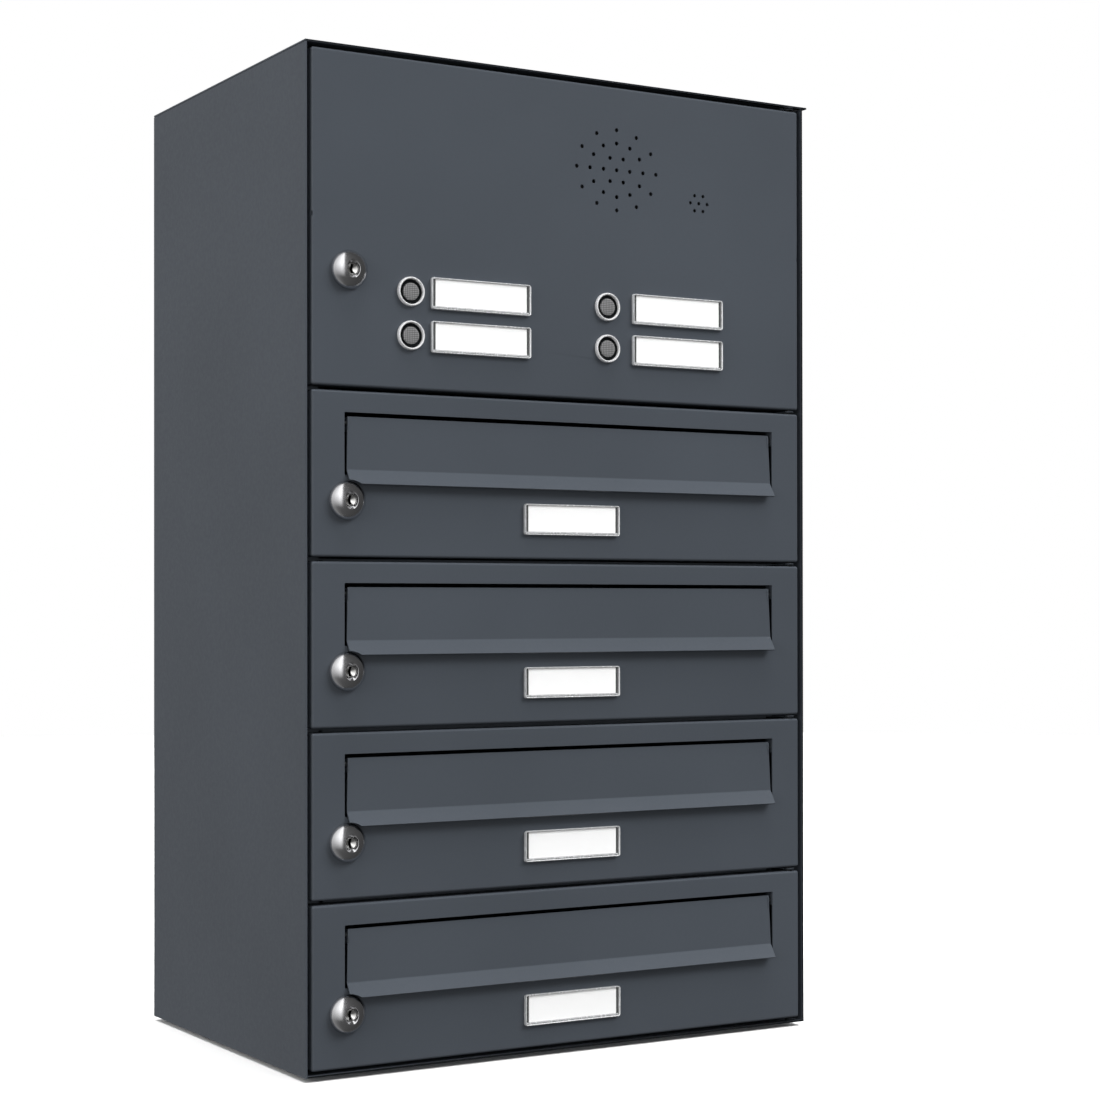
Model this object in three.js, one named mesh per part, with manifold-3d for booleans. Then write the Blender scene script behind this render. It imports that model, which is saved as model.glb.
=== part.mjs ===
// Surface-mounted cluster mailbox: one double-height bell and intercom compartment above four
// letter boxes, in folded and painted sheet steel. Millimetres, +Z up, +X to the right as seen
// from the front, +Y towards the wall. The origin is the middle of the underside.

import * as THREE from 'three';
import { mergeVertices } from 'three/addons/utils/BufferGeometryUtils.js';
import Module from 'manifold-3d';

const wasm = await Module();
wasm.setup();

// ---- driving dimensions -------------------------------------------------------------------

const WIDTH = 392;
const DEPTH = 270;
const HEIGHT = 662.5;
const SHEET = 1.2;
const CLEARANCE = 0.3; // air between two pieces that touch

const MODULE_HEIGHT = 110; // one letter box; the intercom compartment takes two
const MAILBOX_COUNT = 4;
const CASING_MARGIN = 1.7; // top of the roof to the first module line
const REAR_FLANGE_WIDTH = 16; // side panels' flange along the back panel
const ROOF_TAB_LENGTH = 4; // small tab at the roof's front right corner
const ROOF_TAB_WIDTH = 5;
const SIDE_FLANGE_SETBACK = 38; // roof, base and shelf flanges start this far behind the front
const SIDE_FLANGE_BACK_GAP = 4;
const END_FLANGE_HEIGHT = 12; // flanges of the roof and the base
const SHELF_FLANGE_HEIGHT = 10;
const SHELF_LIP_HEIGHT = 7;
const SHELF_LIP_HALF_WIDTH = 176;
const WALL_SCREW_RADIUS = 2.75;
const WALL_SCREW_X = 150;
const WALL_SCREW_HEIGHTS = [60, 400, 620];
const CABLE_ENTRY = { x: 0, z: 560, radius: 15 };

const DOOR_SIDE_GAP = 3; // door edge to the side panel's inner face
const DOOR_END_GAP = 1.5; // door edge to the module line
const DOOR_ROOF_GAP = 2.4; // the same under the roof
const DOOR_BASE_GAP = 2.8; // the same above the base
const DOOR_RETURN = 14; // depth of the door's folded edges
const HINGE_INSET = 6; // hinge rod to the door's right edge
const HINGE_DEPTH = 4; // hinge rod behind the front plane
const HINGE_RADIUS = 2;
const HINGE_HOLE_RADIUS = 2.35;
const HINGE_EAR_RADIUS = 4; // ears of the roof, base and shelves that hold the rod
const HINGE_EAR_DEPTH = 20;
const HINGE_EAR_HEIGHT = 1.6; // of the roof's and the base's ear, beyond the sheet
const NICK = { drop: 111, width: 1, height: 3 }; // relief in the intercom door's side edges

const SLOT_HALF_WIDTH = 168.6; // letter slot cut in the door
const SLOT_TOP = -15.3; // below the module line
const SLOT_BOTTOM = -55.8;
const FLAP_HALF_WIDTH = 167;
const FLAP_TOP = -17.9;
const FLAP_CREASE = -52.3; // where the lip starts to bend outward
const FLAP_LIP_BOTTOM = -61.4;
const FLAP_LIP_REACH = 6; // lip edge in front of the door
const FLAP_ROD_RADIUS = 1.5;
const FLAP_ROD_HOLE_RADIUS = 1.85;
const FLAP_ROD_DEPTH = 5; // flap rod behind the front plane
const FLAP_ROD_DROP = 4; // flap rod below the flap's top edge
const EAR_LENGTH = 10; // tabs that carry the flap rod
const EAR_DEPTH = 8.5;

const LOCK = { x: -167, drop: 72.1 }; // below the module line of a letter box
const INTERCOM_LOCK = { x: -165.5, drop: 143.5 };
const LOCK_DOME_RADIUS = 12.3;
const LOCK_DOME_HEIGHT = 9;
const LOCK_MOUTH_RADIUS = 6; // where the dome turns in to the bore
const LOCK_RIM = 1; // straight edge under the dome
const LOCK_BORE_RADIUS = 5.2;
const LOCK_PLUG_RADIUS = 4.85;
const LOCK_PLUG_FACE = 4.6; // in front of the door, sunk in the dome
const LOCK_BARREL_RADIUS = 9;
const LOCK_BARREL_LENGTH = 18; // behind the front plane
const KEYWAY_HALF_WIDTH = 0.8;
const KEYWAY_HALF_HEIGHT = 3.6;
const KEYWAY_DEPTH = 8;
const CAM_REACH = 24;
const CAM_HALF_WIDTH = 6;
const CAM_THICKNESS = 2;
const CAM_PIN_RADIUS = 3;
const CAM_PIN_END = 1.6; // how far the plug's tail passes the cam

const STRIKE_DEPTH = 16.5; // face of the strike strip behind the front plane
const STRIKE_WIDTH = 15;
const STRIKE_LEG_DEPTH = 35;
const STRIKE_BOTTOM = 3;
const STRIKE_TOP_GAP = 14; // below the roof sheet

const LABEL_WIDTH = 75;
const LABEL_HEIGHT = 21;
const LABEL_THICKNESS = 2.6;
const LABEL_SIDE_RIM = 2.6;
const LABEL_END_RIM = 1.9;
const LABEL_BEVEL = 0.9;
const LABEL_CORNER_RADIUS = 1.4;
const LABEL_CARD_POCKET = 0.9;
const LABEL_HOOK = { halfThickness: 0.7, halfHeight: 3, depth: 4 };
const LABEL_HOOK_SLOT_MARGIN = 0.4;
const NAME_LABEL = { x: 1, drop: 81.8 };

const BELL_COLUMNS = [
  { buttonX: -121.3, labelX: -69 },
  { buttonX: 29.5, labelX: 87.2 },
];
const BELL_ROWS = [-154.6, -183.3]; // below the top module line
const BELL_RING_RADIUS = 9.7;
const BELL_RING_HEIGHT = 2.6;
const BELL_RING_CHAMFER = 0.8;
const BELL_BORE_RADIUS = 7.15;
const BELL_GUIDE_RADIUS = 6.1;
const BELL_BARREL_RADIUS = 8.4;
const BELL_CAP_RADIUS = 5.75;
const BELL_CAP_TOP = 1.9;
const BELL_CAP_EDGE = 0.7;
const BELL_CAP_DEPTH = 5.8;
const BELL_GUIDE_DEPTH = 8;
const BELL_BARREL_LENGTH = 16;

const SPEAKER = { x: 37.7, z: -59.6 };
const SPEAKER_RINGS = [[1, 0], [6, 9.2], [12, 18.5], [12, 27.7]]; // holes, ring radius
const SPEAKER_HOLE_RADIUS = 1.4;
const HOLE_FIELD_STRETCH = 1.16; // both hole fields are wider than high
const MICROPHONE = { x: 105.8, z: -76.5 };
const MICROPHONE_RINGS = [[1, 0], [6, 6.1]];
const MICROPHONE_HOLE_RADIUS = 1.2;
const SPEECH_BOX = { x0: -4, x1: 128, z0: -104, z1: -16, y0: 2.5, y1: 28 };
const SPEECH_WALL = 2;
const SPEAKER_OPENING_RADIUS = 23;
const MICROPHONE_OPENING_RADIUS = 4;
const SPEAKER_DRIVER = {
  flangeRadius: 26, flange: 2, coneRadius: 21, coneMouth: 1.5, coneDepth: 8, dustCapRadius: 8,
  magnetRadius: 15, magnetStart: 11, length: 19,
};
const MICROPHONE_CAPSULE = { radius: 5.5, length: 7 };
const WIRE_HOLE = { fromRight: 30, fromBottom: 8, width: 12, height: 6 };

// ---- worked out from the driving dimensions -----------------------------------------------

const FRONT = -DEPTH / 2;
const BACK = DEPTH / 2;
const INNER_HALF = WIDTH / 2 - SHEET;
const DOOR_HALF = INNER_HALF - DOOR_SIDE_GAP;
const HINGE_X = DOOR_HALF - HINGE_INSET;
const ROOF_UNDERSIDE = HEIGHT - SHEET;
const TOP_LINE = HEIGHT - CASING_MARGIN;
const INTERCOM_HEIGHT = 2 * MODULE_HEIGHT;
const SHEET_OUTER = INNER_HALF - CLEARANCE; // side edge of the sheets between the side panels
const FLAP_ROD_Z = FLAP_TOP - FLAP_ROD_DROP;
const SHELF_FRONT = FRONT + STRIKE_DEPTH + SHEET + CLEARANCE;
const REAR_FLANGE_FRONT = BACK - 2 * SHEET - 2 * CLEARANCE;
const SHELF_BACK = REAR_FLANGE_FRONT - CLEARANCE;

// ---- materials ----------------------------------------------------------------------------

function finish(color, roughness, metalness) {
  return new THREE.MeshStandardMaterial({ color, roughness, metalness });
}

const paint = finish(0x4e535b, 0.55, 0.1);
const galvanised = finish(0x9a9fa3, 0.45, 0.85);
const stainless = finish(0xb9bbbd, 0.25, 0.95);
const brass = finish(0xb39a5a, 0.35, 0.9);
const clearPlastic = finish(0xe9ecee, 0.1, 0);
const greyPlastic = finish(0x77797b, 0.6, 0);
const blackPlastic = finish(0x1d1e20, 0.55, 0);

// ---- solids -------------------------------------------------------------------------------

// A closed three.js geometry as a manifold solid, without the needle triangles that a lathe
// leaves on its axis.
function toSolid(geometry) {
  geometry.deleteAttribute('normal');
  geometry.deleteAttribute('uv');
  const merged = mergeVertices(geometry, 1e-4);
  const corners = Array.from(merged.index.array);
  const triangles = [];
  for (let i = 0; i < corners.length; i += 3) {
    const [a, b, c] = corners.slice(i, i + 3);
    if (a !== b && b !== c && c !== a) triangles.push(a, b, c);
  }
  return new wasm.Manifold(new wasm.Mesh({
    numProp: 3,
    vertProperties: Float32Array.from(merged.attributes.position.array),
    triVerts: Uint32Array.from(triangles),
  }));
}

function box(x0, x1, y0, y1, z0, z1) {
  const geometry = new THREE.BoxGeometry(x1 - x0, y1 - y0, z1 - z0);
  return toSolid(geometry.translate((x0 + x1) / 2, (y0 + y1) / 2, (z0 + z1) / 2));
}

function cylinderX(radius, x0, x1, y, z, sides = 12) {
  const geometry = new THREE.CylinderGeometry(radius, radius, x1 - x0, sides);
  return toSolid(geometry.rotateZ(Math.PI / 2).translate((x0 + x1) / 2, y, z));
}

function cylinderY(radius, y0, y1, x, z, sides = 20) {
  const geometry = new THREE.CylinderGeometry(radius, radius, y1 - y0, sides);
  return toSolid(geometry.translate(x, (y0 + y1) / 2, z));
}

function cylinderZ(radius, z0, z1, x, y, sides = 16) {
  const geometry = new THREE.CylinderGeometry(radius, radius, z1 - z0, sides);
  return toSolid(geometry.rotateX(Math.PI / 2).translate(x, y, (z0 + z1) / 2));
}

// Turned about the Y axis; the profile is a list of [radius, y] that runs from low to high y
// along the outside.
function turned(profile, sides = 20) {
  return toSolid(new THREE.LatheGeometry(profile.map(([r, y]) => new THREE.Vector2(r, y)), sides));
}

// A section in the Y-Z plane, drawn anticlockwise seen from +X, drawn out along X.
function extrudedX(section, x0, x1) {
  const shape = new THREE.Shape(section.map(([y, z]) => new THREE.Vector2(y, z)));
  const geometry = new THREE.ExtrudeGeometry(shape, { depth: x1 - x0, bevelEnabled: false });
  const axes = new THREE.Matrix4().makeBasis(
    new THREE.Vector3(0, 1, 0),
    new THREE.Vector3(0, 0, 1),
    new THREE.Vector3(1, 0, 0),
  );
  return toSolid(geometry.applyMatrix4(axes).translate(x0, 0, 0));
}

function join(first, ...others) {
  return others.reduce((whole, piece) => whole.add(piece), first);
}

function cut(first, ...tools) {
  return tools.reduce((rest, tool) => rest.subtract(tool), first);
}

function addPart(group, name, solid, material) {
  const { vertProperties, triVerts } = solid.getMesh();
  const geometry = new THREE.BufferGeometry();
  geometry.setAttribute('position', new THREE.BufferAttribute(vertProperties, 3));
  geometry.setIndex(new THREE.BufferAttribute(triVerts, 1));
  const mesh = new THREE.Mesh(geometry, material);
  mesh.name = name;
  group.add(mesh);
  return mesh;
}

function subGroup(parent, x, y, z) {
  const group = new THREE.Group();
  group.position.set(x, y, z);
  parent.add(group);
  return group;
}

// Centres of holes laid out on concentric ovals, one hole of each straight to the right.
function ringCentres(rings, centre) {
  return rings.flatMap(([count, radius]) => Array.from({ length: count }, (_, i) => {
    const angle = (2 * Math.PI * i) / count;
    const reach = HOLE_FIELD_STRETCH * radius;
    return { x: centre.x + reach * Math.cos(angle), z: centre.z + radius * Math.sin(angle) };
  }));
}

// ---- casing -------------------------------------------------------------------------------

// Flat side sheet with a flange folded in at the back, where the back panel is riveted on.
function sidePanel(sign) {
  const sheet = box(INNER_HALF, WIDTH / 2, FRONT, BACK, 0, ROOF_UNDERSIDE - CLEARANCE);
  const flange = box(
    INNER_HALF - REAR_FLANGE_WIDTH, INNER_HALF + SHEET / 2,
    REAR_FLANGE_FRONT, REAR_FLANGE_FRONT + SHEET,
    0, ROOF_UNDERSIDE - CLEARANCE,
  );
  const panel = join(sheet, flange);
  return sign > 0 ? panel : panel.mirror([1, 0, 0]);
}

// Pair of flanges along the side panels, behind the doors' folded edges.
function sideFlanges(z0, z1) {
  const front = FRONT + SIDE_FLANGE_SETBACK;
  const back = SHELF_BACK - SIDE_FLANGE_BACK_GAP;
  const right = box(SHEET_OUTER - SHEET, SHEET_OUTER, front, back, z0, z1);
  return [right, right.mirror([1, 0, 0])];
}

function hingeEar(z0, z1) {
  const y = FRONT + HINGE_DEPTH;
  const r = HINGE_EAR_RADIUS;
  return join(
    cylinderZ(r, z0, z1, HINGE_X, y),
    box(HINGE_X - r, HINGE_X + r, y, FRONT + HINGE_EAR_DEPTH, z0, z1),
  );
}

function hingeHole(z0, z1) {
  return cylinderZ(HINGE_HOLE_RADIUS, z0, z1, HINGE_X, FRONT + HINGE_DEPTH);
}

// The roof lies on both side panels; its front right corner runs out in a small tab.
function roofPanel() {
  const half = WIDTH / 2;
  const earBottom = ROOF_UNDERSIDE - HINGE_EAR_HEIGHT;
  const middle = HEIGHT - SHEET / 2;
  const tab = box(
    half - ROOF_TAB_WIDTH, half + ROOF_TAB_LENGTH,
    FRONT, FRONT + ROOF_TAB_WIDTH,
    ROOF_UNDERSIDE, HEIGHT,
  );
  const solid = join(
    box(-half, half, FRONT, BACK, ROOF_UNDERSIDE, HEIGHT),
    tab,
    hingeEar(earBottom, middle),
    ...sideFlanges(ROOF_UNDERSIDE - END_FLANGE_HEIGHT, middle),
  );
  return cut(solid, hingeHole(earBottom - 1, ROOF_UNDERSIDE));
}

function basePanel() {
  const earTop = SHEET + HINGE_EAR_HEIGHT;
  const solid = join(
    box(-SHEET_OUTER, SHEET_OUTER, FRONT, SHELF_BACK, 0, SHEET),
    hingeEar(SHEET / 2, earTop),
    ...sideFlanges(SHEET / 2, END_FLANGE_HEIGHT),
  );
  return cut(solid, hingeHole(-1, earTop + 1));
}

// Back sheet with six wall screw holes and the cable entry behind the intercom compartment.
function backPanel() {
  const y0 = BACK - SHEET;
  const sheet = box(-SHEET_OUTER, SHEET_OUTER, y0, BACK, 0, ROOF_UNDERSIDE - CLEARANCE);
  const screwHoles = WALL_SCREW_HEIGHTS.flatMap((z) => [-WALL_SCREW_X, WALL_SCREW_X].map(
    (x) => cylinderY(WALL_SCREW_RADIUS, y0 - 1, BACK + 1, x, z, 12),
  ));
  const { x, z, radius } = CABLE_ENTRY;
  return cut(sheet, ...screwHoles, cylinderY(radius, y0 - 1, BACK + 1, x, z));
}

// Floor of the compartment above and ceiling of the one below, with an ear for the hinge rod.
// Its middle is the module line.
function shelf() {
  const half = SHELF_LIP_HALF_WIDTH;
  const solid = join(
    box(-SHEET_OUTER, SHEET_OUTER, SHELF_FRONT, SHELF_BACK, -SHEET / 2, SHEET / 2),
    hingeEar(-SHEET / 2, SHEET / 2),
    box(-half, half, SHELF_FRONT, SHELF_FRONT + SHEET, -SHELF_LIP_HEIGHT, 0),
    ...sideFlanges(-SHELF_FLANGE_HEIGHT, 0),
  );
  const strikeNotch = box(
    -SHEET_OUTER - 1, -SHEET_OUTER + SHEET + CLEARANCE,
    SHELF_FRONT - 1, FRONT + STRIKE_LEG_DEPTH + 1,
    -SHEET, SHEET,
  );
  return cut(solid, strikeNotch, hingeHole(-1, 1));
}

// Angle strip inside the left side panel: the lock cams turn in behind its narrow face.
function strikeStrip() {
  const outer = -SHEET_OUTER;
  const face = FRONT + STRIKE_DEPTH;
  const top = ROOF_UNDERSIDE - STRIKE_TOP_GAP;
  return join(
    box(outer, outer + SHEET, face, FRONT + STRIKE_LEG_DEPTH, STRIKE_BOTTOM, top),
    box(outer, outer + STRIKE_WIDTH, face, face + SHEET, STRIKE_BOTTOM, top),
  );
}

function hingeRod() {
  const top = ROOF_UNDERSIDE - CLEARANCE;
  return cylinderZ(HINGE_RADIUS, CLEARANCE, top, HINGE_X, FRONT + HINGE_DEPTH);
}

// ---- doors --------------------------------------------------------------------------------
// Door pieces are drawn from the middle of the compartment's upper module line on the front
// plane: y runs into the casing and z is negative.

// Shallow tray, open to the back, with holes for the hinge rod in its two end folds.
function doorTray(compartmentHeight, topGap, bottomGap) {
  const z0 = bottomGap - compartmentHeight;
  const z1 = -topGap;
  const block = box(-DOOR_HALF, DOOR_HALF, 0, DOOR_RETURN, z0, z1);
  const hollow = box(
    -DOOR_HALF + SHEET, DOOR_HALF - SHEET,
    SHEET, DOOR_RETURN + 1,
    z0 + SHEET, z1 - SHEET,
  );
  return cut(block, hollow, cylinderZ(HINGE_HOLE_RADIUS, z0 - 1, z1 + 1, HINGE_X, HINGE_DEPTH));
}

function labelHookSlots(x, z) {
  const offset = (LABEL_WIDTH - LABEL_SIDE_RIM) / 2;
  const half = LABEL_HOOK.halfThickness + LABEL_HOOK_SLOT_MARGIN;
  const halfHeight = LABEL_HOOK.halfHeight + LABEL_HOOK_SLOT_MARGIN;
  return [x - offset, x + offset].map(
    (middle) => box(middle - half, middle + half, -1, 3, z - halfHeight, z + halfHeight),
  );
}

function lockHole({ x, drop }) {
  return cylinderY(LOCK_BARREL_RADIUS + CLEARANCE, -1, 3, x, -drop);
}

function mailboxDoor(bottomGap) {
  const slot = box(-SLOT_HALF_WIDTH, SLOT_HALF_WIDTH, -1, 3, SLOT_BOTTOM, SLOT_TOP);
  const ear = box(
    SLOT_HALF_WIDTH, SLOT_HALF_WIDTH + SHEET,
    SHEET / 2, EAR_DEPTH,
    SLOT_TOP - EAR_LENGTH, SLOT_TOP,
  );
  const sheet = cut(doorTray(MODULE_HEIGHT, DOOR_END_GAP, bottomGap), slot);
  const reach = SLOT_HALF_WIDTH + 2 * SHEET;
  return cut(
    join(sheet, ear, ear.mirror([1, 0, 0])),
    cylinderX(FLAP_ROD_HOLE_RADIUS, -reach, reach, FLAP_ROD_DEPTH, FLAP_ROD_Z),
    lockHole(LOCK),
    ...labelHookSlots(NAME_LABEL.x, -NAME_LABEL.drop),
  );
}

// Both side edges carry a small relief nick halfway up.
function intercomDoor() {
  const nick = box(
    DOOR_HALF - NICK.width, DOOR_HALF + 1,
    -1, 2,
    -NICK.drop - NICK.height / 2, -NICK.drop + NICK.height / 2,
  );
  const speakerHoles = ringCentres(SPEAKER_RINGS, SPEAKER).map(
    ({ x, z }) => cylinderY(SPEAKER_HOLE_RADIUS, -1, 3, x, z, 10),
  );
  const microphoneHoles = ringCentres(MICROPHONE_RINGS, MICROPHONE).map(
    ({ x, z }) => cylinderY(MICROPHONE_HOLE_RADIUS, -1, 3, x, z, 10),
  );
  const bellHoles = BELL_ROWS.flatMap((z) => BELL_COLUMNS.flatMap(({ buttonX, labelX }) => [
    cylinderY(BELL_BARREL_RADIUS + CLEARANCE, -1, 3, buttonX, z),
    ...labelHookSlots(labelX, z),
  ]));
  return cut(
    doorTray(INTERCOM_HEIGHT, DOOR_ROOF_GAP, DOOR_END_GAP),
    nick,
    nick.mirror([1, 0, 0]),
    lockHole(INTERCOM_LOCK),
    ...bellHoles,
    ...speakerHoles,
    ...microphoneHoles,
  );
}

// Folded flap: a flat part in the slot, a lip bent outward under it, and an ear at each end.
// The lip's lower left corner is cut out round the lock.
function letterFlap() {
  const drop = FLAP_CREASE - FLAP_LIP_BOTTOM;
  const lipLength = Math.hypot(FLAP_LIP_REACH, drop);
  const along = [-FLAP_LIP_REACH / lipLength, -drop / lipLength]; // unit vector down the lip
  const across = [-along[1] * SHEET, along[0] * SHEET]; // lip thickness, to the back
  const innerCrease = FLAP_CREASE - SHEET * Math.tan(Math.atan2(FLAP_LIP_REACH, drop) / 2);
  const section = [
    [0, FLAP_TOP],
    [0, FLAP_CREASE],
    [-FLAP_LIP_REACH, FLAP_LIP_BOTTOM],
    [-FLAP_LIP_REACH + across[0], FLAP_LIP_BOTTOM + across[1]],
    [SHEET, innerCrease],
    [SHEET, FLAP_TOP],
  ];
  const ear = box(
    FLAP_HALF_WIDTH - SHEET, FLAP_HALF_WIDTH,
    SHEET / 2, EAR_DEPTH,
    FLAP_TOP - EAR_LENGTH, FLAP_TOP - CLEARANCE,
  );
  const reach = FLAP_HALF_WIDTH + 1;
  return cut(
    join(extrudedX(section, -FLAP_HALF_WIDTH, FLAP_HALF_WIDTH), ear, ear.mirror([1, 0, 0])),
    cylinderX(FLAP_ROD_HOLE_RADIUS, -reach, reach, FLAP_ROD_DEPTH, FLAP_ROD_Z),
    cylinderY(LOCK_DOME_RADIUS + 1.5 * CLEARANCE, -20, 10, LOCK.x, -LOCK.drop, 32),
  );
}

function flapRod() {
  const half = SLOT_HALF_WIDTH + SHEET + 2;
  return cylinderX(FLAP_ROD_RADIUS, -half, half, FLAP_ROD_DEPTH, FLAP_ROD_Z);
}

// ---- locks --------------------------------------------------------------------------------
// Lock pieces are drawn about their own axis: y is 0 on the door's face.

// Domed cap in front of the door, dished towards the plug, with a barrel behind the door.
function lockHousing() {
  const capHeight = LOCK_DOME_HEIGHT - LOCK_RIM;
  const sphere = (LOCK_DOME_RADIUS ** 2 + capHeight ** 2) / (2 * capHeight);
  const steps = 5;
  const dome = Array.from({ length: steps + 1 }, (_, i) => {
    const r = LOCK_MOUTH_RADIUS + ((LOCK_DOME_RADIUS - LOCK_MOUTH_RADIUS) * i) / steps;
    return [r, sphere - LOCK_DOME_HEIGHT - Math.sqrt(sphere ** 2 - r ** 2)];
  });
  const throat = [LOCK_BORE_RADIUS, -LOCK_PLUG_FACE];
  return turned([
    throat,
    ...dome,
    [LOCK_DOME_RADIUS, -CLEARANCE],
    [LOCK_BARREL_RADIUS, -CLEARANCE],
    [LOCK_BARREL_RADIUS, LOCK_BARREL_LENGTH],
    [LOCK_BORE_RADIUS, LOCK_BARREL_LENGTH],
    throat,
  ]);
}

// Turning plug with an upright keyway; its tail carries the cam.
function lockPlug() {
  const face = -LOCK_PLUG_FACE;
  const tail = LOCK_BARREL_LENGTH + 2 * CLEARANCE + CAM_THICKNESS + CAM_PIN_END;
  const body = turned([
    [0, face],
    [LOCK_PLUG_RADIUS, face],
    [LOCK_PLUG_RADIUS, LOCK_BARREL_LENGTH],
    [CAM_PIN_RADIUS, LOCK_BARREL_LENGTH],
    [CAM_PIN_RADIUS, tail],
    [0, tail],
  ], 16);
  return cut(body, box(
    -KEYWAY_HALF_WIDTH, KEYWAY_HALF_WIDTH,
    face - 1, face + KEYWAY_DEPTH,
    -KEYWAY_HALF_HEIGHT, KEYWAY_HALF_HEIGHT,
  ));
}

// Flat latch arm with a round end; it hangs down when unlocked.
function lockCam() {
  const y0 = LOCK_BARREL_LENGTH + 2 * CLEARANCE;
  const y1 = y0 + CAM_THICKNESS;
  const tipZ = CAM_HALF_WIDTH - CAM_REACH;
  const plate = join(
    cylinderY(CAM_HALF_WIDTH, y0, y1, 0, 0, 24),
    box(-CAM_HALF_WIDTH, CAM_HALF_WIDTH, y0, y1, tipZ, 0),
    cylinderY(CAM_HALF_WIDTH, y0, y1, 0, tipZ, 24),
  );
  return cut(plate, cylinderY(CAM_PIN_RADIUS + 1.2 * CLEARANCE, y0 - 1, y1 + 1, 0, 0, 16));
}

function addLock(door, prefix, suffix, { x, drop }) {
  const group = subGroup(door, x, 0, -drop);
  addPart(group, `${prefix}_lock_housing${suffix}`, lockHousing(), stainless);
  addPart(group, `${prefix}_lock_plug${suffix}`, lockPlug(), brass);
  addPart(group, `${prefix}_lock_cam${suffix}`, lockCam(), galvanised);
}

// ---- labels and bells ---------------------------------------------------------------------

// Clear window with a bevelled front edge, a pocket for the card behind it, and two hooks that
// snap through the door.
function labelWindow() {
  const radius = LABEL_CORNER_RADIUS;
  const halfW = LABEL_WIDTH / 2 - LABEL_BEVEL;
  const halfH = LABEL_HEIGHT / 2 - LABEL_BEVEL;
  const outline = new THREE.Shape();
  outline.absarc(halfW - radius, halfH - radius, radius, 0, Math.PI / 2);
  outline.absarc(radius - halfW, halfH - radius, radius, Math.PI / 2, Math.PI);
  outline.absarc(radius - halfW, radius - halfH, radius, Math.PI, 1.5 * Math.PI);
  outline.absarc(halfW - radius, radius - halfH, radius, 1.5 * Math.PI, 2 * Math.PI);
  const geometry = new THREE.ExtrudeGeometry(outline, {
    depth: LABEL_THICKNESS,
    bevelThickness: LABEL_BEVEL,
    bevelSize: LABEL_BEVEL,
    bevelSegments: 1,
    curveSegments: 3,
  });
  geometry.rotateX(Math.PI / 2).translate(0, LABEL_BEVEL - CLEARANCE, 0);
  const front = -CLEARANCE - LABEL_THICKNESS;
  const back = box(-LABEL_WIDTH, LABEL_WIDTH, -CLEARANCE, 5, -LABEL_HEIGHT, LABEL_HEIGHT);
  const pocketHalfW = LABEL_WIDTH / 2 - LABEL_SIDE_RIM;
  const pocketHalfH = LABEL_HEIGHT / 2 - LABEL_END_RIM;
  const pocket = box(
    -pocketHalfW, pocketHalfW,
    -CLEARANCE - LABEL_CARD_POCKET, 5,
    -pocketHalfH, pocketHalfH,
  );
  const hookX = (LABEL_WIDTH - LABEL_SIDE_RIM) / 2;
  const { halfThickness, halfHeight, depth } = LABEL_HOOK;
  const hook = box(
    hookX - halfThickness, hookX + halfThickness,
    front + 1, depth,
    -halfHeight, halfHeight,
  );
  return join(cut(toSolid(geometry), back, pocket), hook, hook.mirror([1, 0, 0]));
}

// Bell insert: a bright flange in front, a stepped bore for the cap and a closed barrel behind.
function bellRing() {
  const front = -BELL_RING_HEIGHT;
  const chamfer = BELL_RING_CHAMFER;
  return turned([
    [0, BELL_GUIDE_DEPTH],
    [BELL_GUIDE_RADIUS, BELL_GUIDE_DEPTH],
    [BELL_GUIDE_RADIUS, 0],
    [BELL_BORE_RADIUS, 0],
    [BELL_BORE_RADIUS, front + chamfer],
    [BELL_BORE_RADIUS + chamfer, front],
    [BELL_RING_RADIUS - chamfer, front],
    [BELL_RING_RADIUS, front + chamfer],
    [BELL_RING_RADIUS, -CLEARANCE],
    [BELL_BARREL_RADIUS, -CLEARANCE],
    [BELL_BARREL_RADIUS, BELL_BARREL_LENGTH],
    [0, BELL_BARREL_LENGTH],
  ]);
}

function bellCap() {
  return turned([
    [0, -BELL_CAP_TOP],
    [BELL_CAP_RADIUS - BELL_CAP_EDGE, -BELL_CAP_TOP],
    [BELL_CAP_RADIUS, BELL_CAP_EDGE - BELL_CAP_TOP],
    [BELL_CAP_RADIUS, BELL_CAP_DEPTH],
    [0, BELL_CAP_DEPTH],
  ], 16);
}

// ---- intercom -----------------------------------------------------------------------------

// Housing behind the door with an opening for the loudspeaker and one for the microphone; its
// back is closed by a separate cover.
function speechHousing() {
  const { x0, x1, y0, y1, z0, z1 } = SPEECH_BOX;
  const w = SPEECH_WALL;
  return cut(
    box(x0, x1, y0, y1, z0, z1),
    box(x0 + w, x1 - w, y0 + w, y1 + 1, z0 + w, z1 - w),
    cylinderY(SPEAKER_OPENING_RADIUS, y0 - 1, y0 + w + 1, SPEAKER.x, SPEAKER.z),
    cylinderY(MICROPHONE_OPENING_RADIUS, y0 - 1, y0 + w + 1, MICROPHONE.x, MICROPHONE.z, 12),
  );
}

// Lid of the housing with a short spigot inside it and a hole for the wires.
function speechCover() {
  const { x0, x1, y1, z0, z1 } = SPEECH_BOX;
  const inset = SPEECH_WALL + CLEARANCE;
  const holeX = x1 - WIRE_HOLE.fromRight;
  const holeZ = z0 + WIRE_HOLE.fromBottom;
  return cut(
    join(
      box(x0, x1, y1 + CLEARANCE, y1 + CLEARANCE + SPEECH_WALL, z0, z1),
      box(x0 + inset, x1 - inset, y1 - 1, y1 + SPEECH_WALL, z0 + inset, z1 - inset),
    ),
    box(holeX, holeX + WIRE_HOLE.width, y1 - 10, y1 + 10, holeZ, holeZ + WIRE_HOLE.height),
  );
}

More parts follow.
